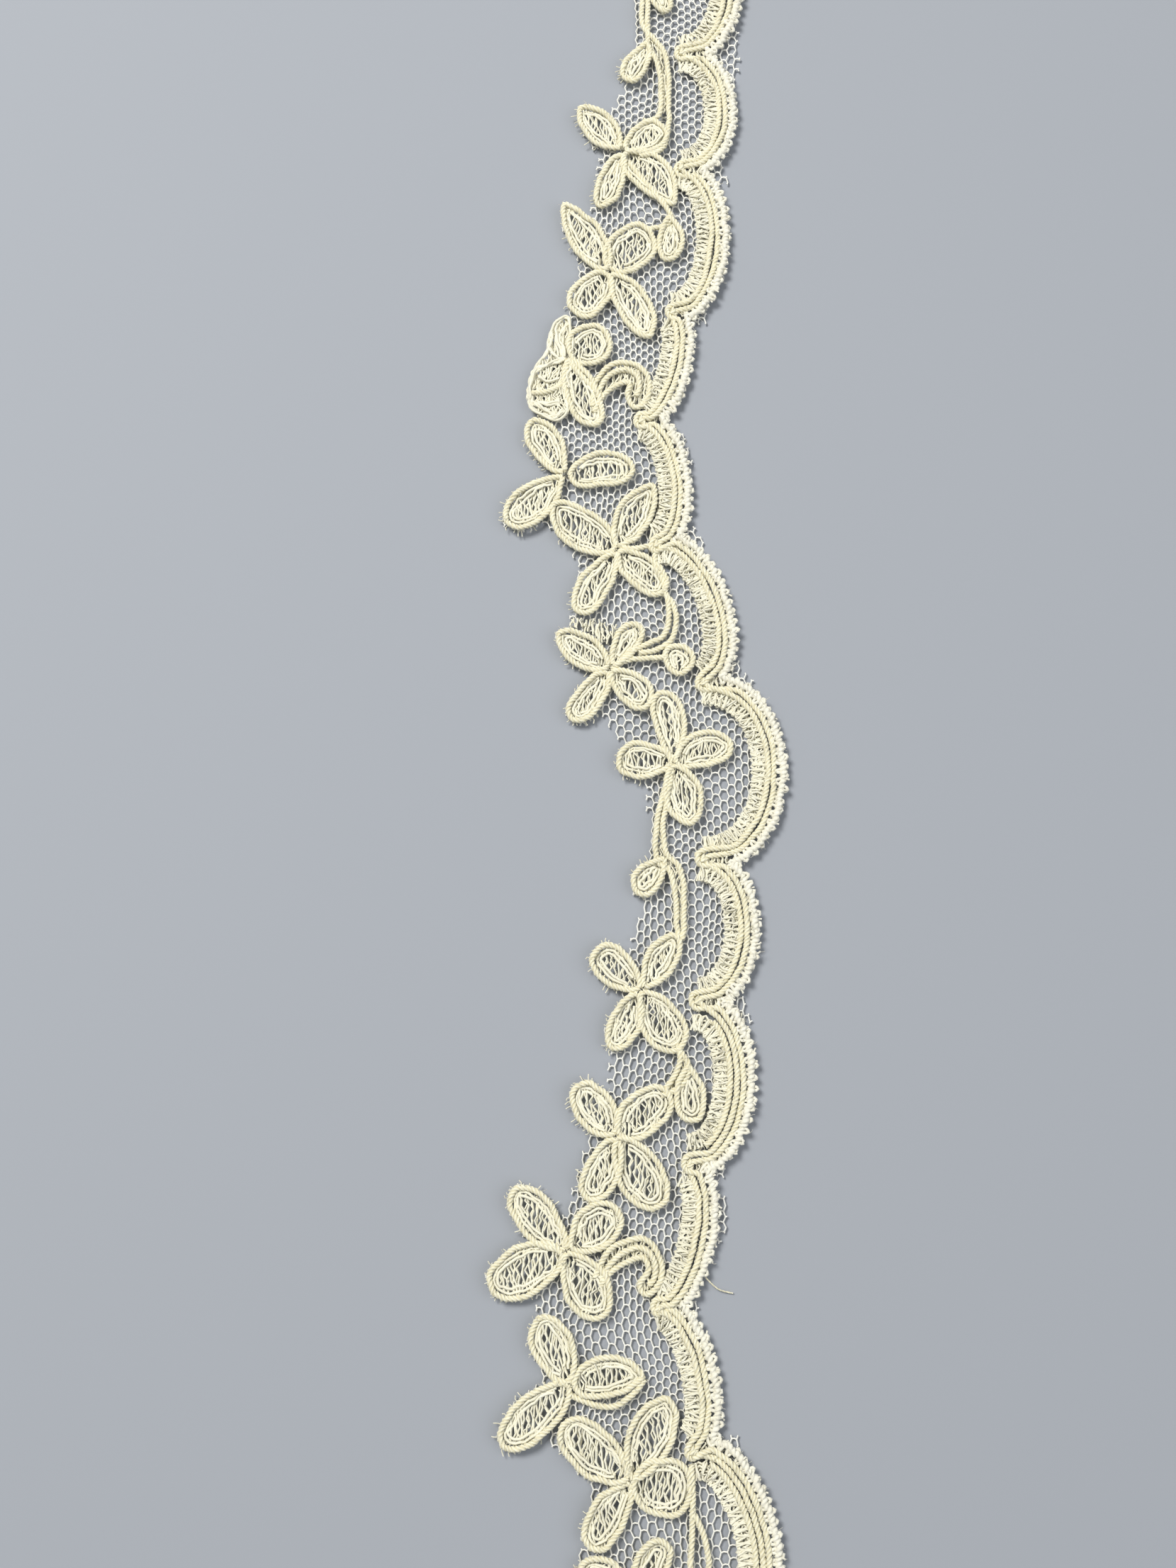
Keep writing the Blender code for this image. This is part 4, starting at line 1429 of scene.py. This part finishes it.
@dataclass
class CouchedCords:
    """Cord that lies on the cloth along guide lines, with the stitches that hold it down."""

    name: str
    lift: float = 0.22
    stitch_gap: float = 0.04
    guides: Guides = field(default_factory=Guides)

    def lay(self, line: Path, height: float, seed: float) -> None:
        """Lay cord along a line of the drawing, as far as the trim's cut ends."""
        self.guides.lay(line, height, self.lift, seed)

    def build(self, cord: Growth, stitch: Growth, finish: bpy.types.Material, thread: bpy.types.Material,
              seed: int) -> bpy.types.Object:
        """Build the cords.

        Args:
            cord: The tree that grows plied cord.
            stitch: The tree that grows couching stitches.
            finish: The cord's finish.
            thread: The stitches' finish.
            seed: The seed of the stitches' slant.

        Returns:
            The cords with their stitches as one piece.
        """
        return joined([
            self.guides.grown(self.name, cord, {"Radius": CORD_RADIUS * MM, "Material": finish}),
            self.guides.grown(self.name + "_stitches", stitch, {
                "Size": (CORD_RADIUS + self.stitch_gap) * MM, "Seed": seed, "Material": thread,
            }),
        ])


def spray_cords(number: int) -> CouchedCords:
    """The cord round the petals and buds and along the stems of one spray.

    Args:
        number: The spray's number, from 1.

    Returns:
        The cords, laid but not built.
    """
    petal_steps, stem_spacing, stem_drop = 52, 0.5, 0.12
    cords = CouchedCords(f"spray_{number}_cords")
    height = Layer.CORD.value
    for flower in SPRAYS[number - 1]:
        for order, (base, petal) in enumerate(petals_of([flower])):
            loop = petal_path(base, petal, petal_steps)
            loop.append(loop[0])
            cords.lay(loop, height, number + order * 1.3)
        for order, stem in enumerate(flower.stems):
            line = [STEM_SWAY.moved(point) for point in smooth_path(stem, stem_spacing)]
            cords.lay(line, height - stem_drop, number + order * 2.1)
    return cords


def border_cords() -> CouchedCords:
    """The cords that follow the scallops and change places at each cusp, where one loops round the other.

    Returns:
        The cords, laid but not built.
    """
    track_start, track_end, track_steps, spacing = 0.13, 0.87, 12, 0.5
    extra_start, extra_end, extra_steps, knot_spacing = 0.16, 0.86, 50, 0.3
    under, knot_rise, extra_drop = 0.15, 0.05, 0.1
    cords = CouchedCords("scallop_border_cords")
    rows = scallops()
    for side in (0, 1):
        line: Path = []
        for number, scallop in enumerate(rows):
            inner = (number + side) % 2 == 0
            offset = -CORD_PITCH if inner else 0.0
            line += scallop.path(offset, track_start, track_end, track_steps)
            line += around(scallop.bottom, INNER_TURN if inner else OUTER_TURN)
        smooth = [BORDER_SWAY.moved(point, side, side) for point in smooth_path(line, spacing)]
        cords.lay(smooth, Layer.CORD.value - under * side, side)
    for cusp in CUSPS:
        knot = smooth_path(around(cusp, CUSP_KNOT), knot_spacing)
        cords.lay(knot, Layer.CORD.value + knot_rise, 3.0)
    for scallop in rows:
        for extra in range(2, scallop.cords):
            line = scallop.path(-CORD_PITCH * extra, extra_start, extra_end, extra_steps)
            cords.lay(line, Layer.CORD.value - extra_drop, extra)
    return cords


@dataclass
class PicotEdge:
    """The crinkled edging yarn: a lumpy core, bound by looped thread and frayed in short ends."""

    offset: float = 1.1
    core_radius: float = 0.47
    core_spacing: float = 0.2
    loop_pitch: float = 0.9
    loop_out: float = 0.6
    loop_in: float = 0.8
    loop_radius: float = 0.23
    loop_stray: float = 0.12
    loop_evenness: tuple[float, float] = (0.75, 1.25)
    loop_spacing: float = 0.25
    crinkle: float = 0.3
    crinkle_size: float = 0.9
    fray_spacing: float = 1.8
    fray_start: tuple[float, float] = (-1.6, 0.9)
    fray_radius: float = 0.13
    fray_reach: tuple[float, float] = (0.4, 0.75)
    fray_lean: float = 0.7
    fray_root: float = 0.2
    fray_rise: float = 0.3
    notch_depth: float = 2.2
    notch_gap: float = 0.1

    def lines(self) -> list[Path]:
        """The yarn's own lines, which leave out the inner ends of the notches."""
        rows = scallops()
        line: Path = []
        for number, scallop in enumerate(rows):
            near = [other.path(0.0, steps=30) for other in rows[max(0, number - 1):number + 2]]
            for point in scallop.path(self.offset, steps=60):
                clear = min((point - other).length for path in near for other in path)
                depth = (point - scallop.top).dot(scallop.out())
                if depth > self.notch_depth and clear > self.offset - self.notch_gap:
                    line.append(point)
        return within_length(smooth_path(line, self.core_spacing))

    def loops(self, line: Path) -> Path:
        """The looped thread that goes to and fro between the outer cord and the yarn's edge.

        Args:
            line: The yarn's middle line.

        Returns:
            The thread's points.
        """
        draw = random.Random(17)
        track: Path = []
        travelled, due, side = 0.0, 0.0, 0
        for before, point in zip(line, line[1:]):
            travelled += (point - before).length
            if travelled < due:
                continue
            due = travelled + self.loop_pitch / 4 * draw.uniform(*self.loop_evenness)
            out = Vector((before.y - point.y, point.x - before.x)).normalized()
            reach = self.loop_out if side % 4 < 2 else -self.loop_in
            track.append(point + out * (reach + draw.uniform(-self.loop_stray, self.loop_stray)))
            side += 1
        return smooth_path(track, self.loop_spacing)

    def frays(self, line: Path, guides: Guides) -> None:
        """Add the short ends that stand out of one line.

        Args:
            line: The yarn's middle line.
            guides: Takes the ends.
        """
        draw = random.Random(23)
        travelled = 0.0
        for before, point in zip(line, line[1:]):
            tangent = point - before
            travelled += tangent.length
            if travelled < self.fray_spacing:
                continue
            travelled = draw.uniform(*self.fray_start)
            out = Vector((-tangent.y, tangent.x)).normalized()
            lean = tangent.normalized() * draw.uniform(-self.fray_lean, self.fray_lean)
            root = point + out * self.fray_root
            reach = draw.uniform(*self.fray_reach)
            end = [root, root + (out + lean * 0.4) * reach * 0.6, root + (out + lean) * reach]
            rise = draw.uniform(-self.fray_rise, self.fray_rise)
            guides.line(lifted(end, Layer.PICOT.value + rise, self.fray_rise))

    def build(self, thread: Growth, cord: Growth, finish: bpy.types.Material) -> bpy.types.Object:
        """Build the edging.

        Args:
            thread: The tree that grows plain threads.
            cord: The tree that grows plied cord.
            finish: The yarn's finish.

        Returns:
            The edging as one piece.
        """
        core, looped, ends = Guides(), Guides(), Guides()
        for line in self.lines():
            crinkled = [point + wander(point, self.crinkle_size, self.crinkle, 11.0) for point in line]
            core.line(lifted(crinkled, Layer.PICOT.value, 0.3, 20.0))
            looped.line(lifted(self.loops(line), Layer.PICOT.value, 0.4, 33.0))
            self.frays(line, ends)
        return joined([
            core.grown("picot_yarn", cord, {
                "Radius": self.core_radius * MM, "Plies": 2.0, "Ply Depth": 0.25, "Lay Length": 1.3 * MM,
                "Step": 0.2 * MM, "Sides": 8, "Unevenness": 1.5, "Material": finish,
            }),
            looped.grown("picot_loops", thread, {
                "Radius": self.loop_radius * MM, "Sides": 5, "Material": finish,
            }),
            ends.grown("picot_ends", thread, {"Radius": self.fray_radius * MM, "Material": finish}),
        ])


@dataclass
class LooseThreads:
    """Stray fibres on the yarns, and the loose end that hangs out of the border."""

    fibre_length: float = 0.8
    fibre_radius: float = 0.03
    end_radius: float = 0.1
    end_height: float = 1.0
    end_fall: float = 0.03

    def loose_end(self, cord: Growth, finish: bpy.types.Material) -> bpy.types.Object:
        """The thin thread end that has come out of the border below the middle."""
        guides = Guides()
        guides.line([
            Vector((point.x, point.y, self.end_height - self.end_fall * number))
            for number, point in enumerate(smooth_path(LOOSE_END, 0.25))
        ])
        return guides.grown("loose_end", cord, {"Radius": self.end_radius * MM, "Material": finish})

    def fibres(self, tree: Growth, piece: bpy.types.Object, name: str, density: float, seed: int,
               finish: bpy.types.Material) -> bpy.types.Object:
        """Stray fibres over a piece.

        Args:
            tree: The tree that grows fibres.
            piece: What they stand on.
            name: The fibres' own name.
            density: Fibres on a square millimetre.
            seed: The seed of their places.
            finish: The fibres' finish.

        Returns:
            The fibres as one piece.
        """
        return grown_on(piece.data.copy(), name, tree, {
            "Density": density / MM ** 2, "Length": self.fibre_length * MM,
            "Radius": self.fibre_radius * MM, "Seed": seed, "Material": finish,
        })


@dataclass
class Studio:
    """A pale floor, soft lights, and the camera at the photograph's angle."""

    tilt: float = 11.0
    distance: float = 0.2286
    lens: float = 39.06
    sensor: float = 36.0
    clip_start: float = 0.01
    target_height: float = 0.0015
    floor_size: float = 3.0
    sky_colour: Colour = (0.92, 0.95, 1.0)
    sky_strength: float = 0.33

    def camera(self) -> None:
        """Place the camera above the trim, tilted a little towards its lower end."""
        data = bpy.data.cameras.new("camera")
        data.lens = self.lens
        data.sensor_width = self.sensor
        data.clip_start = self.clip_start
        camera = placed("camera", data)
        tilt = math.radians(self.tilt)
        back = Vector((0.0, -math.sin(tilt), math.cos(tilt)))
        target = Vector((DRAWING_SHIFT.x * MM, DRAWING_SHIFT.y * MM, self.target_height))
        aimed(camera, target + back * self.distance, back)
        bpy.context.scene.camera = camera

    def floor(self) -> bpy.types.Object:
        """The floor under the trim."""
        half = self.floor_size / 2
        mesh = bpy.data.meshes.new("floor")
        corners = [(-half, -half, 0.0), (half, -half, 0.0), (half, half, 0.0), (-half, half, 0.0)]
        mesh.from_pydata(corners, [], [(0, 1, 2, 3)])
        mesh.materials.append(FloorFinish().material())
        return placed("floor", mesh)

    def light(self, name: str, place: Vector, size: float, power: float, colour: Colour) -> None:
        """Add an area light that points at the trim.

        Args:
            name: The light's name.
            place: Where it stands.
            size: The length of its sides.
            power: Its power in watts.
            colour: Its colour.
        """
        data = bpy.data.lights.new(name, "AREA")
        data.size = size
        data.energy = power
        data.color = colour
        aimed(placed(name, data), place, place)

    def build(self) -> None:
        """Set the whole studio up."""
        self.camera()
        self.floor()
        self.light("key_light", Vector((-0.35, 0.3, 0.75)), 0.3, 7.3, (1.0, 0.985, 0.96))
        self.light("fill_light", Vector((0.6, -0.2, 0.7)), 0.8, 2.6, (0.95, 0.97, 1.0))
        world = bpy.data.worlds.new("studio")
        world.use_nodes = True
        background = world.node_tree.nodes["Background"]
        background.inputs["Color"].default_value = (*self.sky_colour, 1.0)
        background.inputs["Strength"].default_value = self.sky_strength
        bpy.context.scene.world = world
        bpy.context.scene.view_settings.view_transform = "Standard"


def seat(piece: bpy.types.Object, nodes: Sequence[str] = ()) -> None:
    """Fasten a finished piece to the frame.

    Args:
        piece: The piece.
        nodes: The solids that it stands for.
    """
    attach(piece, "root")
    if nodes:
        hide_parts(*nodes)


def main() -> None:
    """Build every sub-assembly in order."""
    logging.basicConfig(level=logging.INFO, format="%(message)s")
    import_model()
    Studio().build()
    thread, cord, stitch, fuzz = thread_growth(), cord_growth(), stitch_growth(), fuzz_growth()
    net_finish = YarnFinish("net_cotton", (0.97, 0.96, 0.89), (0.88, 0.86, 0.77)).material()
    worked_finish = YarnFinish("clothwork_cotton", (0.97, 0.95, 0.80), (0.76, 0.71, 0.51)).material()
    # The cord's finish paints shade into the seams between its plies
    cord_finish = YarnFinish("cream_cord", (0.96, 0.93, 0.74), (0.74, 0.68, 0.45), seam_shade_and_groove_depth=0.5).material()
    picot_finish = YarnFinish("picot_cotton", (0.95, 0.93, 0.81), (0.70, 0.66, 0.51)).material()

    cloth = Cloth().build(thread, net_finish, worked_finish)
    seat(cloth, ["net_ground"])
    loose = LooseThreads()
    for number in range(1, len(SPRAYS) + 1):
        spray = spray_cords(number).build(cord, stitch, cord_finish, worked_finish, number)
        fibres = loose.fibres(
            fuzz, spray, f"spray_{number}_fibres", density=0.5, seed=60 + number, finish=worked_finish)
        seat(joined([spray, fibres]), [f"spray_cord_{number}"])
    border = border_cords().build(cord, stitch, cord_finish, worked_finish, 40)
    seat(border, ["scallop_cords"])
    picot = PicotEdge().build(thread, cord, picot_finish)
    seat(picot, ["picot_edge"])
    seat(loose.loose_end(cord, cord_finish))
    seat(loose.fibres(fuzz, picot, "picot_fibres", density=0.6, seed=5, finish=picot_finish))
    seat(loose.fibres(fuzz, border, "border_fibres", density=0.5, seed=6, finish=cord_finish))


if __name__ == "__main__":
    main()
